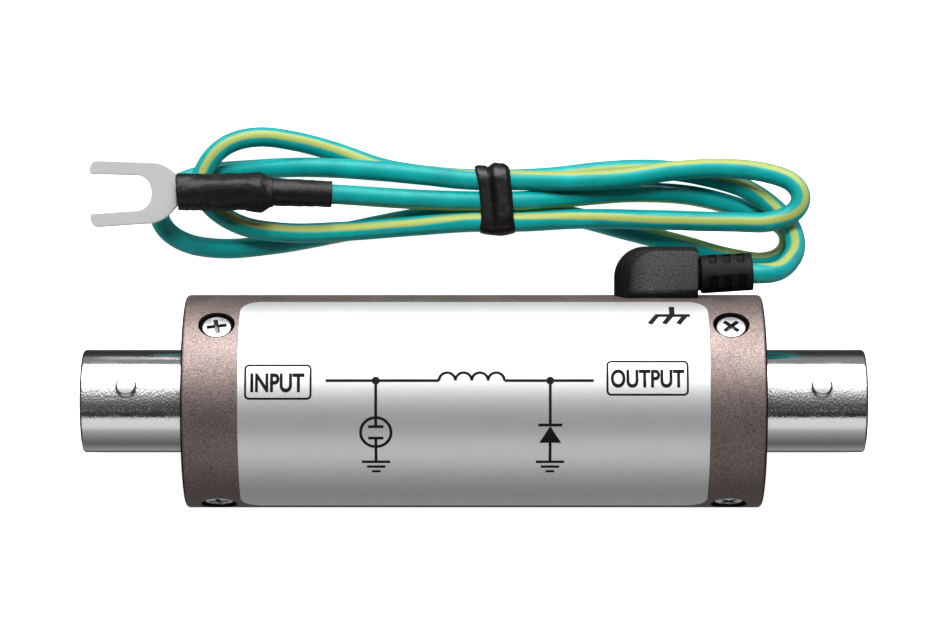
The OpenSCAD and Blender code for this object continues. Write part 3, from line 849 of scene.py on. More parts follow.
    def piece(
        self,
        name: str,
        finish: Finish | tuple[Finish, ...],
        slot: str,
        nodes: Sequence[str] = (),
        smooth: float = 35.0,
        even: bool = True,
    ) -> bpy.types.Object:
        """Makes the form a dressed object that rides on the part.

        Args:
            name: Name of the piece.
            finish: Its finish, or its finishes in the order of their numbers.
            slot: Slot of the record that the finish belongs to. Not used.
            nodes: Nodes of the part that it stands for.
            smooth: Angle in degrees up to which edges look smooth.
            even: Whether large faces set the shading of the small ones beside them.

        Returns:
            The object.
        """
        bmesh.ops.scale(self.bm, vec=(MM, MM, MM), verts=self.bm.verts)
        mesh = bpy.data.meshes.new(name)
        self.bm.to_mesh(mesh)
        self.bm.free()
        for each in finish if isinstance(finish, tuple) else (finish,):
            mesh.materials.append(each.material())
        mesh.shade_smooth()
        mesh.set_sharp_from_angle(angle=math.radians(smooth))
        made = bpy.data.objects.new(name, mesh)
        bpy.context.scene.collection.objects.link(made)
        if even:
            made.modifiers.new("even_shading", "WEIGHTED_NORMAL").keep_sharp = True
        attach(made, BODY)
        if nodes:
            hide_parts(*nodes)
        LOG.info("%s: %d faces, for %s", name, len(mesh.polygons), ", ".join(nodes) or "looks only")
        return made


def rim_at(radius: float) -> Callable[[bmesh.types.BMEdge], bool]:
    """Gives a test for the sharp edges at a radius from the X axis.

    Args:
        radius: Radius in millimetres.

    Returns:
        The test.
    """

    def test(edge: bmesh.types.BMEdge) -> bool:
        """Tells whether an edge is sharp and lies at the radius."""
        return is_sharp(edge) and all(abs(math.hypot(v.co.y, v.co.z) - radius) < 0.02 for v in edge.verts)

    return test


@dataclass
class Housing:
    """Tube with its counterbores, its end caps and the screws that hold them."""

    radius: float = 10.0
    bore: float = 8.0
    half: float = 27.0
    edge: float = 0.4
    cap_front: float = 26.7
    cap_back: float = 20.3
    neck_hole: float = 4.05
    screw_x: float = 23.8
    screw_angles: tuple[float, ...] = (46.6, 166.6, 286.6)
    cbore: float = 1.675
    seat: float = 8.72
    head: float = 1.45
    head_top: float = 9.72
    thread: float = 0.8
    thread_end: float = 5.52
    spigot_x: float = 15.1
    spigot_hole: float = 1.55

    def tube(self) -> None:
        """Turns the tube and sinks its counterbores and the boot's hole."""
        h, r, b = self.half, self.radius, self.bore
        form = Form().lathe([(-h, b), (-h, r), (h, r), (h, b)], 240)
        form.soften(self.edge, 5, rim_at(r)).soften(0.15, 2, rim_at(b)).move((0, 0, AXIS_Z))
        pocket = [(self.seat, 0), (self.seat, self.cbore), (9.9, self.cbore)]
        pocket += [(10.6, self.cbore + 0.3), (10.6, 0)]
        for side in Side:
            for angle in self.screw_angles:
                cutter = Form().lathe(pocket, 64, Turn.UP, closed=False)
                form.combine(cutter.radial(side.value * self.screw_x, angle), Join.CUT)
        hole = Form().bar(6, 12, self.spigot_hole, 48, Turn.UP)
        form.combine(hole.radial(self.spigot_x, 90), Join.CUT)

        def in_painted_shade(p: Vector) -> bool:
            """Tells whether a place is on a cut end or in a counterbore, where shade is painted."""
            sunk = 8.5 < math.hypot(p.y, p.z - AXIS_Z) < r - 0.06
            return abs(p.x) > h - 0.14 or sunk and abs(p.x) < h - 0.5

        # The cut ends and the counterbores take the second finish, a painted shade
        form.paint(in_painted_shade)
        form.piece("housing_tube_blasted", (ANODISED, ANODISED_PAINTED_SHADE), "anodised_taupe", ["housing_tube"])

    def cap(self, side: Side) -> None:
        """Turns one end cap.

        Args:
            side: End of the tube.
        """
        outer = self.bore - 0.05
        profile = [(self.cap_back, self.neck_hole), (self.cap_back, outer)]
        profile += [(self.cap_front, outer), (self.cap_front, self.neck_hole)]
        form = Form().lathe(profile, 128).soften(0.3, 3, rim_at(outer)).flip(side).move((0, 0, AXIS_Z))
        name = f"{side.name.lower()}_end_cap"
        form.piece(f"{name}_turned", TURNED, "cap_aluminium", [name])

    def screws(self, side: Side, cross: float) -> None:
        """Makes the three screws of one cap.

        Args:
            side: End of the tube.
            cross: Angle of the cross recess.
        """
        profile = [(self.thread_end, 0), (self.thread_end, self.thread), (self.seat, self.thread)]
        profile += [(self.seat, self.head), (self.head_top, self.head), (self.head_top, 0)]
        screw = Form().lathe(profile, 64, Turn.UP, closed=False)
        screw.soften(0.26, 5, lambda e: is_sharp(e) and min(v.co.z for v in e.verts) > self.head_top - 0.01)
        for quarter in (0, 90):
            bar = Form().block((2.45, 0.6, 1.2), (0, 0, self.head_top))
            for v in bar.bm.verts:
                if v.co.z < self.head_top:
                    v.co.x, v.co.y = v.co.x * 0.5, v.co.y * 0.45
            screw.combine(bar.turn(cross + quarter, "Z"), Join.CUT)
        recess = self.head - 0.28
        # The cross recess takes the second finish, a painted shade
        screw.paint(lambda p: self.seat < p.z < self.head_top - 0.02 and math.hypot(p.x, p.y) < recess)
        form = Form()
        for angle in self.screw_angles:
            form.absorb(screw.copy().radial(side.value * self.screw_x, angle))
        screw.bm.free()
        name = f"{side.name.lower()}_cap_screws"
        form.piece(f"{name}_crosshead", (ZINC, ZINC_RECESS_SHADE), "screw_steel", [name])

    def build(self) -> None:
        """Makes the tube, both caps and all six screws."""
        self.tube()
        for side, cross in ((Side.INPUT, 10.0), (Side.OUTPUT, 45.0)):
            self.cap(side)
            self.screws(side, cross)


@dataclass
class Jack:
    """Bayonet jack: plated shell with two lugs, white insulator and slotted centre contact."""

    side: Side
    back: float = 17.0
    neck: float = 4.0
    shoulder: float = 26.7
    barrel: float = 4.825
    mouth: float = 36.7
    bore: float = 4.05
    floor: float = 28.3
    core: float = 2.4
    lug_x: float = 32.35
    lug: float = 1.0
    lug_reach: float = 5.5
    lug_angles: tuple[float, float] = (16.5, 196.5)
    insulator: float = 2.35
    insulator_front: float = 33.5
    contact: float = 1.05
    contact_front: float = 33.4
    contact_bore: float = 0.69
    contact_depth: float = 4.2

    def shell(self) -> None:
        """Turns the shell and sets its lugs in."""
        form = Form().lathe(
            [
                (self.back, self.core),
                (self.back, self.neck),
                (self.shoulder, self.neck),
                (self.shoulder, self.barrel),
                (self.mouth, self.barrel),
                (self.mouth, self.bore),
                (self.floor, self.bore),
                (self.floor, self.core),
            ],
            192,
        )
        form.soften(0.28, 4, rim_at(self.barrel)).soften(0.2, 3, rim_at(self.bore))
        form.flip(self.side).move((0, 0, AXIS_Z))
        middle = (self.bore + self.barrel) / 2
        for angle in self.lug_angles:
            lug = Form().bar(middle, self.lug_reach, self.lug, 64, Turn.UP)
            top = self.lug_reach - 0.01
            lug.soften(0.26, 4, lambda e: is_sharp(e) and min(v.co.z for v in e.verts) > top)
            form.combine(lug.radial(self.side.value * self.lug_x, angle), Join.ADD)
        name = f"{self.side.name.lower()}_jack_shell"
        form.piece(f"{name}_plated", NICKEL, "nickel_plate", [name])

    def middle(self) -> None:
        """Makes the insulator and the contact in its middle."""
        name = self.side.name.lower()
        hole = self.contact + 0.03
        ring = [(self.back, hole), (self.back, self.insulator)]
        ring += [(self.insulator_front, self.insulator), (self.insulator_front, hole)]
        form = Form().lathe(ring, 96).soften(0.14, 3).flip(self.side).move((0, 0, AXIS_Z))
        node = f"{name}_jack_insulator"
        form.piece(f"{node}_moulded", FLUOROPOLYMER, "white_insulator", [node])
        front, well = self.contact_front, self.contact_front - self.contact_depth
        rod = [(self.back, 0), (self.back, self.contact), (front, self.contact)]
        rod += [(front, self.contact_bore), (well, self.contact_bore), (well, 0)]
        form = Form().lathe(rod, 64, closed=False).soften(0.1, 2, rim_at(self.contact))
        form.combine(Form().block((6.0, 3.0, 0.3), (front, 0, 0)), Join.CUT)
        form.combine(Form().block((4.2, 1.2, 0.5), (self.back - 1.9, 0, 0)), Join.ADD)
        form.flip(self.side).move((0, 0, AXIS_Z))
        node = f"{name}_jack_contact"
        form.piece(f"{node}_slotted", GOLD, "gold_contact", [node])

    def build(self) -> None:
        """Makes the whole jack."""
        self.shell()
        self.middle()


@dataclass
class FaceLabel:
    """Film label on the tube's face and what is printed on it, in distances along and round the tube."""

    length: float = 43.4
    width: float = 24.4
    corner: float = 2.0
    thickness: float = 0.12
    seat: float = 10.02
    tilt: float = -3.0
    line: float = 0.19
    ink: float = 0.012

    @property
    def face(self) -> float:
        """Radius of the label's outer face."""
        return self.seat + self.thickness

    def film(self) -> None:
        """Cuts the film, rounds its corners and bends it on to the tube."""
        x, y = self.length / 2, self.width / 2
        form = Form().plate([(-x, -y), (x, -y), (x, y), (-x, y)], {i: self.corner for i in range(4)})
        form.thicken(self.thickness).move((0, self.seat * math.radians(self.tilt), 0)).wrap(self.seat, 0.3)
        form.piece("face_label_film", FILM, "label_film", ["face_label"], even=False)

    def stroke(self, sheet: Form, start: tuple[float, float], end: tuple[float, float], width: float) -> None:
        """Draws a straight line.

        Args:
            sheet: Flat form that gets the line.
            start: First end.
            end: Last end.
            width: Width of the line.
        """
        a, b = Vector((*start, 0)), Vector((*end, 0))
        along = b - a
        place = Matrix.Translation((a + b) / 2) @ Matrix.Rotation(math.atan2(along.y, along.x), 4, "Z")
        place = place @ Matrix.Diagonal((along.length, width, 1, 1))
        bmesh.ops.create_grid(sheet.bm, x_segments=1, y_segments=1, size=0.5, matrix=place)

    def arc(
        self, sheet: Form, centre: tuple[float, float], radius: float, width: float, degrees: float
    ) -> None:
        """Draws an arc that starts at the centre's right and turns to the left.

        Args:
            sheet: Flat form that gets the arc.
            centre: Its centre.
            radius: Radius of the middle of the line.
            width: Width of the line.
            degrees: Angle of the arc, 360 for a ring.
        """
        ends = [sheet.bm.verts.new((centre[0] + radius + way * width / 2, centre[1], 0)) for way in (-1, 1)]
        edge = sheet.bm.edges.new(ends)
        bmesh.ops.spin(
            sheet.bm,
            geom=[*ends, edge],
            cent=(*centre, 0),
            axis=(0, 0, 1),
            angle=math.radians(degrees),
            steps=max(12, int(degrees / 9)),
            use_merge=degrees == 360,
        )

    def frame(self, sheet: Form, low: tuple[float, float], high: tuple[float, float]) -> None:
        """Draws a frame with rounded corners.

        Args:
            sheet: Flat form that gets the frame.
            low: Its lower left corner.
            high: Its upper right corner.
        """
        form = Form().plate([low, (high[0], low[1]), high, (low[0], high[1])], {i: 0.45 for i in range(4)})
        face = form.bm.faces[:]
        bmesh.ops.inset_region(
            form.bm, faces=face, thickness=self.line, use_boundary=True, use_even_offset=True
        )
        bmesh.ops.delete(form.bm, geom=face, context="FACES")
        sheet.absorb(form)

    def word(self, sheet: Form, text: str, low: tuple[float, float], high: tuple[float, float]) -> None:
        """Sets a word so that its letters fill a box.

        Args:
            sheet: Flat form that gets the word.
            text: The word.
            low: Lower left corner of the box.
            high: Its upper right corner.
        """
        curve = bpy.data.curves.new(text, "FONT")
        curve.body = text
        curve.size = 2.4
        curve.offset = 0.07
        curve.resolution_u = 6
        setter = bpy.data.objects.new(text, curve)
        bpy.context.scene.collection.objects.link(setter)
        bpy.context.view_layer.update()
        mesh = bpy.data.meshes.new_from_object(setter.evaluated_get(bpy.context.evaluated_depsgraph_get()))
        form = Form()
        form.bm.from_mesh(mesh)
        bpy.data.objects.remove(setter)
        bpy.data.curves.remove(curve)
        bpy.data.meshes.remove(mesh)
        spans = [(min(v.co[i] for v in form.bm.verts), max(v.co[i] for v in form.bm.verts)) for i in (0, 1)]
        size = [(high[i] - low[i]) / (spans[i][1] - spans[i][0]) for i in (0, 1)]
        form.move((-spans[0][0], -spans[1][0], 0))
        bmesh.ops.scale(form.bm, vec=(*size, 1), verts=form.bm.verts)
        sheet.absorb(form.move((*low, 0)))

    def earth_sign(self, sheet: Form) -> None:
        """Draws the earth sign by the boot: a stem, a bar and three slanting legs."""
        self.stroke(sheet, (18.34, 9.42), (18.34, 10.75), 0.5)
        self.stroke(sheet, (16.76, 9.29), (20.0, 9.29), 0.42)
        for foot in (16.9, 18.22, 19.54):
            self.stroke(sheet, (foot, 9.2), (foot - 0.66, 8.1), 0.48)

    def diagram(self, sheet: Form) -> None:
        """Draws a plain circuit diagram of such a device between the two words."""
        tube, diode, level, width = -9.0, 7.0, 2.1, 0.26
        self.stroke(sheet, (-13.6, level), (-3.2, level), width)
        for i in range(4):
            self.arc(sheet, (-2.45 + 1.5 * i, level), 0.75, width, 180)
        self.stroke(sheet, (2.8, level), (11.0, level), width)
        for x in (tube, diode):
            self.arc(sheet, (x, level), 0.19, 0.36, 360)
            self.stroke(sheet, (x, level - 0.1), (x, -1.3), width)
            self.stroke(sheet, (x, -4.1), (x, -5.6), width)
            for i, half in enumerate((1.3, 0.85, 0.4)):
                self.stroke(sheet, (x - half, -5.7 - 0.55 * i), (x + half, -5.7 - 0.55 * i), width)
        self.arc(sheet, (tube, -2.7), 1.4, width, 360)
        for y in (-2.15, -3.25):
            self.stroke(sheet, (tube - 0.7, y), (tube + 0.7, y), width)
        self.stroke(sheet, (tube, -1.3), (tube, -2.05), width)
        self.stroke(sheet, (tube, -3.35), (tube, -4.1), width)
        self.stroke(sheet, (diode, -1.3), (diode, -1.9), width)
        self.stroke(sheet, (diode - 1.1, -2.0), (diode + 1.1, -2.0), width)
        sheet.plate([(diode, -2.1), (diode + 1.0, -3.7), (diode - 1.0, -3.7)], {})
        self.stroke(sheet, (diode, -3.7), (diode, -4.1), width)

    def printing(self) -> None:
        """Prints the two words in their frames, the earth sign and the diagram."""
        sheet = Form()
        self.frame(sheet, (-21.07, 0.33), (-14.88, 3.64))
        self.word(sheet, "INPUT", (-20.5, 1.0), (-15.54, 2.78))
        self.frame(sheet, (12.15, 0.7), (19.71, 4.01))
        self.word(sheet, "OUTPUT", (12.55, 1.43), (19.31, 3.16))
        self.earth_sign(sheet)
        self.diagram(sheet)
        sheet.thicken(self.ink + 0.005, -0.005).wrap(self.face, 0.3)
        sheet.piece("label_print", INK, "black_epoxy", smooth=20, even=False)

    def build(self) -> None:
        """Makes the film and its print."""
        self.film()
        self.printing()


@dataclass
class Boot:
    """Moulded rubber boot on the tube's side, with its notched strain relief."""

    left: float = 13.2
    right: float = 21.05
    root: float = 9.0
    top: float = 14.55
    half_depth: float = 2.8
    bend: float = 2.9
    crown: float = 2.0
    axis_y: float = 12.0
    relief_start: float = 21.28
    relief_end: float = 26.2
    relief: float = 1.8
    neck_start: float = 20.85
    neck: float = 1.5
    # Angle round the relief and width of each row of notches
    notch_rows: tuple[tuple[float, float], ...] = ((57, 1.6), (-44, 2.2), (123, 1.6), (224, 2.2))
    sink: float = 0.08
    lean: float = 3.4
    wire_hole: float = 1.0
    tube_radius: float = 10.03
    spigot_x: float = 15.1
    spigot: float = 1.5
    # Point that the head's outline draws in towards, and how much of it along X and Y
    draw_to: tuple[float, float] = (20.49, 13.23)
    draw_in: tuple[float, float] = (0.247, 0.378)

    def head(self) -> Form:
        """Makes the bent head: an outline raised in steps that draw in most on its rounded back.

        Returns:
            The head, cut to the tube.
        """
        outline = [(self.left, self.root), (self.right, self.root)]
        outline += [(self.right, self.top), (self.left, self.top)]
        form = Form().plate(outline, {2: 0.55, 3: self.bend})
        base = form.bm.faces[:]
        pivot = Matrix.Translation((-self.draw_to[0], -self.draw_to[1], 0))
        roof, drawn = base, 0.0
        flank = self.half_depth - self.crown
        for i in range(13):
            angle = math.radians(90 * i / 12)
            grown = bmesh.ops.extrude_face_region(form.bm, geom=roof)["geom"]
            verts = [g for g in grown if isinstance(g, bmesh.types.BMVert)]
            roof = [g for g in grown if isinstance(g, bmesh.types.BMFace)]
            height = flank + self.crown * math.sin(angle)
            share = 1 - math.cos(angle)
            bmesh.ops.translate(form.bm, vec=(0, 0, height - verts[0].co.z), verts=verts)
            size = [(1 - k * share) / (1 - k * drawn) for k in self.draw_in]
            bmesh.ops.scale(form.bm, vec=(*size, 1), space=pivot, verts=verts)
            drawn = share
        bmesh.ops.delete(form.bm, geom=[f for f in base if f.is_valid], context="FACES_ONLY")
        half = form.bm.verts[:] + form.bm.edges[:] + form.bm.faces[:]
        bmesh.ops.mirror(form.bm, geom=half, axis="Z", merge_dist=1e-4)
        form.tidy().move((0, 0, AXIS_Z))
        tube = Form().bar(-30, 30, self.tube_radius, 240)
        return form.combine(tube.move((0, 0, AXIS_Z)), Join.CUT)

    def relief_tail(self) -> Form:
        """Turns the strain relief and cuts its two rows of notches on each face.

        Returns:
            The relief, leaning away from the tube.
        """
        start, end, r = self.relief_start, self.relief_end, self.relief
        profile = [(self.neck_start, 0), (self.neck_start, self.neck), (start, self.neck)]
        profile += [(start, r), (end, r - 0.03), (end, 0)]
        form = Form().lathe(profile, 96, closed=False)
        form.soften(0.22, 4, lambda e: is_sharp(e) and e.verts[0].co.x > start - 0.01)
        for row, width in self.notch_rows:
            for i in range(3):
                notch = Form().block((0.74, width, 2.0), (start + 1.2 + 1.3 * i, 0, r + 0.52))
                form.combine(notch.soften(0.12, 2).turn(-row, "X"), Join.CUT)
        form.move((0, self.axis_y - self.sink, AXIS_Z))
        return form.turn(self.lean, "Z", (21.5, self.axis_y, AXIS_Z))

    def bore(self) -> Form:
        """Makes the cutter for the wire's way through the boot.

        Returns:
            A round bar along the wire.
        """
        return Form().bar(15.0, 28, self.wire_hole, 48).move((0, self.axis_y, AXIS_Z))

    def build(self) -> bpy.types.Object:
        """Makes the boot as one piece.

        Returns:
            The boot.
        """
        form = self.head().combine(self.bore(), Join.CUT)
        form.absorb(self.relief_tail().combine(self.bore(), Join.CUT))
        form.absorb(Form().bar(8.0, 10.9, self.spigot, 48, Turn.UP).radial(self.spigot_x, 90))
        # Painted sheen: faces turned up or down get paler, fully on the head and a little on the relief
        form.paint_sheen(0.88, 0.99, lambda p: 1.0 if p.x < 21.1 else 0.12)
        return form.piece("ground_boot_moulded", RUBBER, "boot_rubber", ["ground_boot"], smooth=40)


@dataclass
class Lead:
    """Earth lead: the wire along its route, its tie, its two sleeves and the fork."""

    radius: float = 0.95
    step: float = 0.4
    sides: int = 24
    exit: tuple[float, float, float] = (26.2, 12.0, 10.0)
    tie_x: float = 2.12
    tie_bore: float = 1.0
    sleeve_start: float = -28.2
    sleeve_end: float = -19.1
    crimp_y: float = 19.8
    crimp_z: float = 6.0
    tail: tuple[float, float, float] = (-13.4, 19.6, 5.6)
    fork_thickness: float = 0.8
    fork_turn: float = 1.2

    def route(self) -> list[Vector]:
        """Gives the points that the wire runs through, from inside the boot to the crimp.

        Returns:
            Points in millimetres.
        """
        runs = (
            # Out of the boot
            ((15.1, 12, 10), (16.2, 12, 10), (25.2, 12, 10), (26.2, 12, 10)),
            # Outer right turn, down behind the front loop and back to the tie
            ((28.4, 12.1, 9.3), (30.1, 13.4, 7.2), (30.7, 15, 4.9), (30.3, 16.7, 3.5), (28.8, 18.4, 2.9)),
            ((26.4, 20.1, 2.4), (22.8, 21.3, 1.8), (18, 22.1, 1.5), (12.8, 22, 1.5), (7.5, 21.4, 1.5)),
            ((4, 21.2, 1.5), (0, 21.2, 1.5)),
            # Upper left loop, round under the sleeve
            ((-4, 21.5, 1.4), (-8.6, 22.2, 1.2), (-13.6, 23.9, 1.2), (-17.6, 24.9, 1.8), (-21, 25.2, 2.6)),
            ((-23.8, 24.4, 3), (-25.7, 22.4, 3.1), (-26.3, 20.3, 3.1), (-25.3, 18.6, 3.1)),
            ((-22.6, 16.8, 3.1), (-18.2, 16, 3.1), (-12.8, 16.1, 3.2), (-6, 16.6, 3.4)),
            ((0, 17, 3.4), (4, 17, 3.4)),
            # Front right loop
            ((10, 17.3, 3.4), (17.5, 17.2, 3.6), (24.5, 17, 4.6), (28.8, 17.1, 5.3), (30.7, 18, 5.6)),
            ((31.3, 19.3, 5.6), (30.6, 20.6, 5.3), (28.2, 21.6, 4.8), (24.6, 22.1, 4.2)),
            ((19.2, 21.9, 3.8), (13.6, 21.1, 3.9), (8.5, 20.9, 3.9)),
            ((4, 21, 3.4), (0, 21, 3.4)),
            # Lower left loop, down on to the surface
            ((-5, 21.5, 3.4), (-10.5, 22, 3.1), (-16, 22.3, 2), (-21.5, 22.1, 1), (-26.6, 21.5, 1)),
            ((-29.4, 20.2, 1), (-30.5, 18.4, 1), (-29.8, 16.4, 1), (-27.9, 15.1, 1), (-24.6, 14.5, 1)),
            ((-20, 14.8, 1), (-13, 16, 1.1), (-6.5, 17.3, 1.3)),
            ((0, 18.2, 1.5), (4, 18.2, 1.5)),
            # Inner right loop, under the boot
            ((9.5, 17.6, 1.3), (14.5, 16.3, 1), (20, 14.9, 1), (25.2, 13.5, 1), (28.3, 13.2, 1)),
            ((29.9, 13.9, 1), (30.5, 15.3, 1), (29.9, 16.7, 1), (28.4, 17.4, 1), (25.4, 18.5, 1)),
            ((21.6, 19.5, 1.2), (15.5, 19.9, 1.8), (9, 19.4, 2.5)),
            ((4, 19, 3.4), (0, 19, 3.4)),
            # Straight to the sleeves and the crimp
            ((-6.5, 19.2, 4.1), (-13.4, 19.6, 5.6), (-19.1, 19.8, 6), (-27.25, 19.8, 6)),
        )
        return [Vector(p) for run in runs for p in run]

    def stripe_turns(self) -> tuple[tuple[int, float], ...]:
        """Gives how far the stripe is turned from the top of the wire, to the left of its run.

        Returns:
            Number of a route point and angle in degrees, in order.
        """
        return (
            (0, 105), (3, 105), (4, 46), (5, 25), (6, 6), (7, 5), (9, -30), (11, -6), (13, -5), (15, -8),
            (18, -16), (20, -16), (22, -4), (25, 30), (28, 20), (29, 38), (30, 38), (32, 0), (34, 10),
            (36, -33), (39, -50), (43, -60), (47, -140), (51, -125), (55, -118), (58, 0), (62, 46), (66, 50),
            (70, 80), (73, 70), (75, 75), (78, 110),
        )  # fmt: skip

    def centreline(self) -> tuple[list[Vector], list[float]]:
        """Runs a smooth curve through the route at even steps.

        Returns:
            The points of the curve, and the stripe's angle at each in degrees.
        """
        knots = self.route()
        turns = self.stripe_turns()
        last = len(knots) - 1
        slopes = []
        for i, knot in enumerate(knots):
            before, after = knots[max(i - 1, 0)], knots[min(i + 1, last)]
            back, ahead = (knot - before).length, (after - knot).length
            if i in (0, last):
                slopes.append((after - before).normalized())
            else:
                mean = (knot - before) / back * ahead + (after - knot) / ahead * back
                slopes.append(mean / (back + ahead))
        dense: list[tuple[Vector, float]] = []
        for i in range(last):
            span = (knots[i + 1] - knots[i]).length
            for k in range(40):
                t = k / 40
                point = (
                    knots[i] * (2 * t**3 - 3 * t**2 + 1)
                    + slopes[i] * span * (t**3 - 2 * t**2 + t)
                    + knots[i + 1] * (3 * t**2 - 2 * t**3)
                    + slopes[i + 1] * span * (t**3 - t**2)
                )
                dense.append((point, i + t))
        dense.append((knots[last], float(last)))
        reach = [0.0]
        for (a, _), (b, _) in zip(dense, dense[1:]):
            reach.append(reach[-1] + (b - a).length)
        count = round(reach[-1] / self.step)
        line, angles, j = [], [], 0
        for n in range(count + 1):
            goal = reach[-1] * n / count
            while j < len(dense) - 2 and reach[j + 1] < goal:
                j += 1
            share = (goal - reach[j]) / (reach[j + 1] - reach[j])
            line.append(dense[j][0].lerp(dense[j + 1][0], share))
            knot = dense[j][1] + share * (dense[j + 1][1] - dense[j][1])
            k = max(i for i, (number, _) in enumerate(turns[:-1]) if number <= knot)
            (first, low), (second, high) = turns[k], turns[k + 1]
            angles.append(low + (high - low) * (knot - first) / (second - first))
        for _ in range(6):
            line = [line[0], *[(a + 2 * b + c) / 4 for a, b, c in zip(line, line[1:], line[2:])], line[-1]]
            middle = [(a + 2 * b + c) / 4 for a, b, c in zip(angles, angles[1:], angles[2:])]
            angles = [angles[0], *middle, angles[-1]]
        lowest = self.radius + 0.02
        return [Vector((p.x, p.y, max(p.z, lowest))) for p in line], angles

    def wire(self) -> tuple[bpy.types.Object, list[Vector]]:
        """Sweeps the wire's cover along the curve, with its stripe at the middle of the UV map.

        Returns:
            The wire and its centreline.
        """
        line, angles = self.centreline()
        last = len(line) - 1
        rings = []
        for i, point in enumerate(line):
            ahead = (line[min(i + 1, last)] - line[max(i - 1, 0)]).normalized()
            up = (Vector((0, 0, 1)) - ahead * ahead.z).normalized()
            rings.append((point, up, up.cross(ahead), math.radians(angles[i])))

        def place(u: float, v: float) -> Vector:
            """Gives the point of the cover at U along the wire and V round it."""
            point, up, left, stripe = rings[round(u * last)]
            angle = stripe + math.tau * (v - 0.5)
            return point + self.radius * (math.cos(angle) * up + math.sin(angle) * left)

        form = Form().drape(self.sides, last, place)
        bmesh.ops.holes_fill(form.bm, edges=[e for e in form.bm.edges if e.is_boundary], sides=self.sides)
        bmesh.ops.recalc_face_normals(form.bm, faces=form.bm.faces)
        nodes = ["ground_wire", "wire_core"]
        return form.piece("ground_wire_striped", VINYL, "wire_green", nodes, 60, even=False), line

    def tie_height(self, x: float, ridged: float) -> float:
        """Gives how far the tie stands off the strands.

        Args:
            x: Place across the tie, from -1 to 1.
            ridged: 1 where both of its turns show, 0 where the strip is pulled flat.

        Returns:
            The height in millimetres.
        """
        first = 0.34 * max(0.0, 1 - ((x + 0.62) / 0.39) ** 4) ** 0.5
        second = 0.58 * max(0.0, 1 - ((x - 0.38) / 0.62) ** 2) ** 0.5
        second *= 1 - 0.12 * (x - 0.24) + 0.08 * math.cos(math.tau * (x - 0.12) / 0.58)
        flat = 0.01 + 0.3 * (1 - x * x)
        return flat + (max(first, second, 0.04) - flat) * ridged

    def tie(self) -> bpy.types.Object:
        """Winds the tie round the five strands in two turns, each with a ridge.

        Returns:
            The tie.
        """
        corners = [Vector((0, y, z)) for y, z in ((18.2, 1.5), (21.2, 1.5), (21.0, 3.4), (17.0, 3.4))]
        parts: list[tuple[Vector, Vector, Vector, Vector, float]] = []
        for i, corner in enumerate(corners):
            before, after = corners[i - 1], corners[(i + 1) % 4]
            inward, onward = (corner - before).normalized(), (after - corner).normalized()
            first, second = (Vector((0, d.z, -d.y)) for d in (inward, onward))
            parts.append((corner, corner, first, second, first.angle(second) * 1.4))
            parts.append((corner, after, second, second, (after - corner).length))
        whole = sum(part[4] for part in parts)

        def place(u: float, v: float) -> Vector:
            """Gives the point of the tie at U round the strands and V round its section."""
            left = u % 1.0 * whole
            number = 0
            while left > parts[number][4] and number < len(parts) - 1:
                left -= parts[number][4]
                number += 1
            start, end, first, second, span = parts[number]
            share = left / span
            out = first.slerp(second, share, first)
            point = start.lerp(end, share) + out * self.tie_bore
            spot = v % 1.0
            top = spot < 0.8
            x = -math.cos(math.pi * spot / 0.8) if top else math.cos(math.pi * (spot - 0.8) / 0.2)
            ridged = min(1.0, max(0.0, (point.y - 15.9) / 1.6)) * min(1.0, max(0.0, 1 + out.z))
            height = self.tie_height(x, ridged) if top else 0.01
            half = 1.57 + 0.1 * min(1.0, max(0.0, (point.y - 20.5) / 1.5, (17.4 - point.y) / 0.9))
            lean = -0.1 * (point.y - 19.5) - 0.018 * (point.y - 19.5) ** 2
            return point + out * height + Vector((self.tie_x + x * half + lean, 0, 0))

        form = Form().drape(64, 160, place)
        bmesh.ops.smooth_vert(
            form.bm, verts=form.bm.verts, factor=0.3, use_axis_x=True, use_axis_y=True, use_axis_z=True
        )
        form.crumple(0.6, 0.035, lambda p: 1.0)
        return form.piece("wire_tie_wound", TIE_VINYL, "tie_black", ["wire_tie"], 60, even=False)

    def sleeves(self) -> list[bpy.types.Object]:
        """Makes the two shrunk sleeves, creased and drawn in at the end of the larger one.

        Returns:
            The larger and the smaller sleeve.
        """
        start, end = self.sleeve_start, self.sleeve_end
        outer = []
        for i in range(73):
            x = start + (end - start) * i / 72
            swell = 1.72 + 0.04 * math.sin((x - start) * 0.9) + 0.13 / (1 + math.exp(-(x - start - 4.4) * 3))
            slope = max(0.0, min(1.0, (x - (end - 1.35)) / 1.1))
            outer.append((x, swell - 0.44 * slope * slope * (3 - 2 * slope)))
        inner = [(end, 1.0), (end - 1.5, 1.0), (end - 4.2, 1.5), (start, 1.5)]
        form = Form().lathe(outer + inner, 96).soften(0.08, 2)
        form.crumple(1.7, 0.2, lambda p: float(math.hypot(p.y, p.z) > 1.3), 0.8)
        form.crumple(0.6, 0.06, lambda p: float(math.hypot(p.y, p.z) > 1.3), 1.5)
        form.move((0, self.crimp_y, self.crimp_z))
        node = "terminal_sleeve"
        large = form.piece("terminal_sleeve_shrunk", SHRUNK, "sleeve_black", [node], 60, even=False)
        head, tail = Vector((end, self.crimp_y, self.crimp_z)), Vector(self.tail)
        length = (tail - head).length - 0.3
        outer = [(length * i / 48, 1.33 - 0.08 * i / 48) for i in range(49)]
        form = Form().lathe(outer + [(length, 1.0), (-0.4, 1.0), (-0.4, 1.3)], 72)
        form.crumple(1.1, 0.06, lambda p: float(math.hypot(p.y, p.z) > 1.1), 1.2)
        form.crumple(0.35, 0.025, lambda p: float(math.hypot(p.y, p.z) > 1.1), 2.5)
        ahead = (tail - head).normalized()
        facing = ahead.to_track_quat("X", "Z").to_matrix()
        bmesh.ops.rotate(form.bm, cent=(0, 0, 0), matrix=facing, verts=form.bm.verts)
        form.move(head + ahead * 0.15)
        small = form.piece("wire_sleeve_shrunk", SHRUNK, "sleeve_black", ["wire_sleeve"], 60, even=False)
        return [large, small]

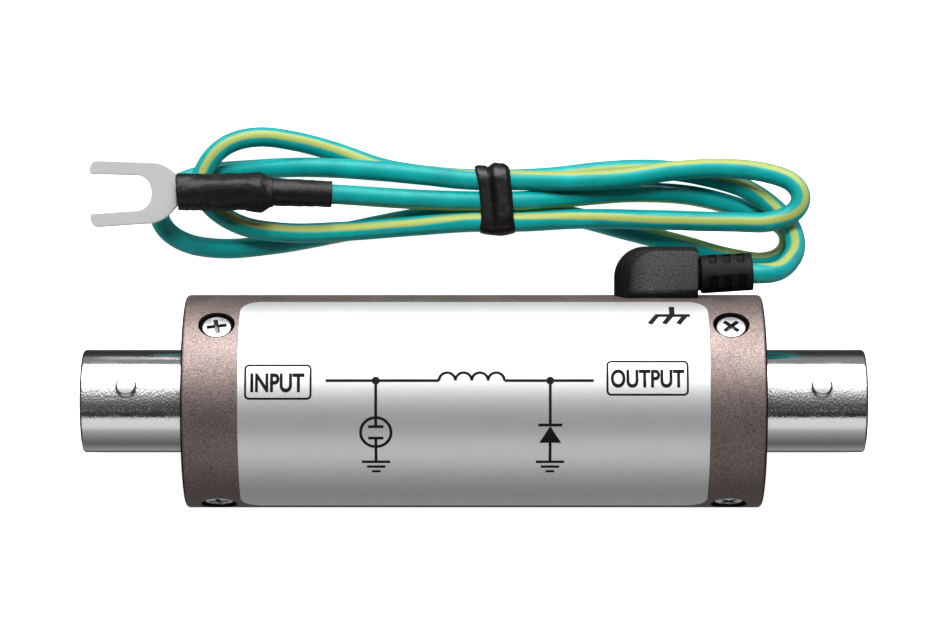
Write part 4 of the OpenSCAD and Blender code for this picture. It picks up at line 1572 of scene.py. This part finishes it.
    def fork(self) -> bpy.types.Object:
        """Stamps the fork and rolls the crimp barrel behind it.

        Returns:
            The fork terminal.
        """
        outline = [
            (0.0, -1.4), (0.0, 1.75), (-1.3, 2.8), (-8.2, 3.2), (-8.2, 1.9), (-2.4, 1.62), (-2.4, -1.62),
            (-8.2, -1.9), (-8.2, -3.2), (-1.5, -2.88),
        ]  # fmt: skip
        radii = {2: 2.2, 9: 2.6, 3: 0.7, 8: 0.7, 4: 0.12, 7: 0.12, 5: 1.5, 6: 1.5}
        form = Form().plate(outline, radii).thicken(self.fork_thickness).soften(0.1, 2)
        form.turn(self.fork_turn, "Z").move((self.sleeve_start - 0.11, self.crimp_y, self.crimp_z - 0.8))
        barrel = [(0, 0.99), (0, 1.45), (4.5, 1.45), (4.5, 0.99)]
        crimp = Form().lathe(barrel, 64).move((self.sleeve_start + 0.02, self.crimp_y, self.crimp_z))
        return form.absorb(crimp).piece("fork_terminal_stamped", TIN, "fork_tin", ["fork_terminal"])

    def build(self, boot: bpy.types.Object) -> None:
        """Args:
            boot: Boot that the wire comes out of. Not used.
        """
        wire, line = self.wire()
        pieces = [self.tie(), *self.sleeves(), self.fork(), boot]
        length = sum((b - a).length for a, b in zip(line, line[1:])) * MM
        LOG.info("earth lead: %.4f m along its centreline", length)
        [c * MM for c in self.exit]
        [p * MM for p in line]


@dataclass
class Studio:
    """Camera, pale floor and soft light."""

    camera_at: tuple[float, float, float] = (0.0001, 0.0081, 0.390)
    lens: float = 152.95
    far: float = 0.6
    box: tuple[float, float] = (0.26, 0.26)
    box_angle: float = 39.0
    power: float = 5.2
    # Angle from straight up towards +Y in degrees, and how bright the dome is there
    glow: tuple[tuple[float, float], ...] = (
        (-150, 0.38), (-130, 0.3), (-112, 0.16), (-95, 0.22), (-70, 0.47), (-58, 0.93), (-36, 0.95),
        (-35, 0.03), (-16, 0.07), (-2, 0.17), (11, 0.4), (25, 1.0), (36, 2.6), (48, 5.2), (64, 7.4),
        (78, 5.8), (89, 3.0), (91, 0.36), (114, 0.3), (124, 0.07), (150, 0.03),
    )  # fmt: skip

    def camera(self) -> None:
        """Sets the camera straight above the part, as the photograph was taken."""
        data = bpy.data.cameras.new("camera")
        data.lens = self.lens
        data.sensor_width = 36.0
        data.clip_start = 0.01
        made = bpy.data.objects.new("camera", data)
        made.location = self.camera_at
        bpy.context.scene.collection.objects.link(made)
        bpy.context.scene.camera = made

    def set_out(self, name: str, bm: bmesh.types.BMesh, finish: bpy.types.Material) -> bpy.types.Object:
        """Makes a mesh a part of the stage.

        Args:
            name: Its name.
            bm: Its mesh, which is used up.
            finish: Its material.

        Returns:
            The object.
        """
        mesh = bpy.data.meshes.new(name)
        bm.to_mesh(mesh)
        bm.free()
        mesh.materials.append(finish)
        made = bpy.data.objects.new(name, mesh)
        bpy.context.scene.collection.objects.link(made)
        return made

    def floor(self) -> None:
        """Lays a white floor that glows enough to keep its shadows faint."""
        bm = bmesh.new()
        place = Matrix.Translation((0, 0, -0.00002))
        bmesh.ops.create_grid(bm, x_segments=1, y_segments=1, size=1.5, matrix=place)
        paper = bpy.data.materials.new("paper_white")
        paper.use_nodes = True
        shader = paper.node_tree.nodes["Principled BSDF"]
        shader.inputs["Base Color"].default_value = linear("#f4f4f4")
        shader.inputs["Roughness"].default_value = 0.9
        shader.inputs["Emission Color"].default_value = linear("#ffffff")
        shader.inputs["Emission Strength"].default_value = 0.95
        made = self.set_out("floor", bm, paper)
        made.visible_glossy = False

    def dome(self) -> None:
        """Bends a card over the part that only gloss sees and that gives metal its bands."""
        bm = bmesh.new()
        start, end = (math.radians(angle) for angle in (self.glow[-1][0], self.glow[0][0]))
        y, z = self.far * math.sin(start), self.far * math.cos(start)
        ends = [bm.verts.new((x, y, z)) for x in (-0.45, 0.45)]
        bmesh.ops.spin(
            bm,
            geom=[*ends, bm.edges.new(ends)],
            cent=(0, 0, 0),
            axis=Turn.LENGTH.value,
            angle=start - end,
            steps=120,
        )
        card = bpy.data.materials.new("card_graded")
        card.use_nodes = True
        tree = card.node_tree
        place = add_node(tree, "ShaderNodeTexCoord")
        parts = add_node(tree, "ShaderNodeSeparateXYZ", {0: place.outputs["Object"]})
        angle = maths(tree, "ARCTAN2", parts.outputs[1], parts.outputs[2])
        ramp = add_node(tree, "ShaderNodeValToRGB", {0: ranged(tree, angle, -math.pi, math.pi)})
        stops = ramp.color_ramp.elements
        stops.remove(stops[1])
        for i, (degrees, level) in enumerate(self.glow):
            stop = stops[0] if i == 0 else stops.new(1.0)
            stop.position = 0.5 + degrees / 360
            stop.color = (level, level, level, 1.0)
        glow = add_node(tree, "ShaderNodeEmission", {"Strength": ramp.outputs[0]})
        tree.links.new(glow.outputs[0], tree.nodes["Material Output"].inputs["Surface"])
        made = self.set_out("dome", bm, card)
        made.visible_camera = False
        made.visible_diffuse = False
        made.visible_shadow = False

    def softbox(self) -> None:
        """Hangs a softbox high behind the part that lights only what isn't metal."""
        lamp = bpy.data.lights.new("softbox", "AREA")
        lamp.shape = "RECTANGLE"
        lamp.size, lamp.size_y = self.box
        lamp.energy = self.power
        made = bpy.data.objects.new("softbox", lamp)
        angle = math.radians(self.box_angle)
        made.location = (0, self.far * math.sin(angle), self.far * math.cos(angle))
        made.rotation_euler = (-angle, 0, 0)
        made.visible_camera = False
        made.visible_glossy = False
        bpy.context.scene.collection.objects.link(made)

    def build(self) -> None:
        """Sets the camera, the floor and the lights."""
        self.camera()
        self.floor()
        self.dome()
        self.softbox()
        world = bpy.data.worlds.new("room")
        world.use_nodes = True
        world.node_tree.nodes["Background"].inputs["Color"].default_value = linear("#484848")
        bpy.context.scene.world = world
        bpy.context.scene.view_settings.view_transform = "Standard"


def dress_inside(nodes: dict[str, bpy.types.Object]) -> None:
    """Gives the parts inside the tube, which stay as they are in the frame, their finishes.

    Args:
        nodes: Nodes of the frame by name.
    """
    finishes = {
        "input_lock_washer": PLATED_STEEL,
        "output_lock_washer": PLATED_STEEL,
        "input_jack_nut": PLATED_STEEL,
        "output_jack_nut": PLATED_STEEL,
        "gas_tube_electrodes": PLATED_STEEL,
        "circuit_board": SOLDER_MASK,
        "gas_tube_ceramic": ALUMINA,
        "clamp_diode": EPOXY,
        "line_choke": FERRITE,
        "earth_pin": GOLD,
    }
    for name, finish in finishes.items():
        for slot in nodes[name].material_slots:
            slot.material = finish.material()
        LOG.info("%s: kept, in %s", name, finish.name)


def main() -> None:
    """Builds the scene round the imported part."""
    logging.basicConfig(level=logging.INFO, format="%(name)s %(message)s")
    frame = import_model()
    Studio().build()
    boot = Boot().build()
    Lead().build(boot)
    Housing().build()
    for side in Side:
        Jack(side).build()
    FaceLabel().build()
    dress_inside(frame["nodes"])


if __name__ == "__main__":
    main()
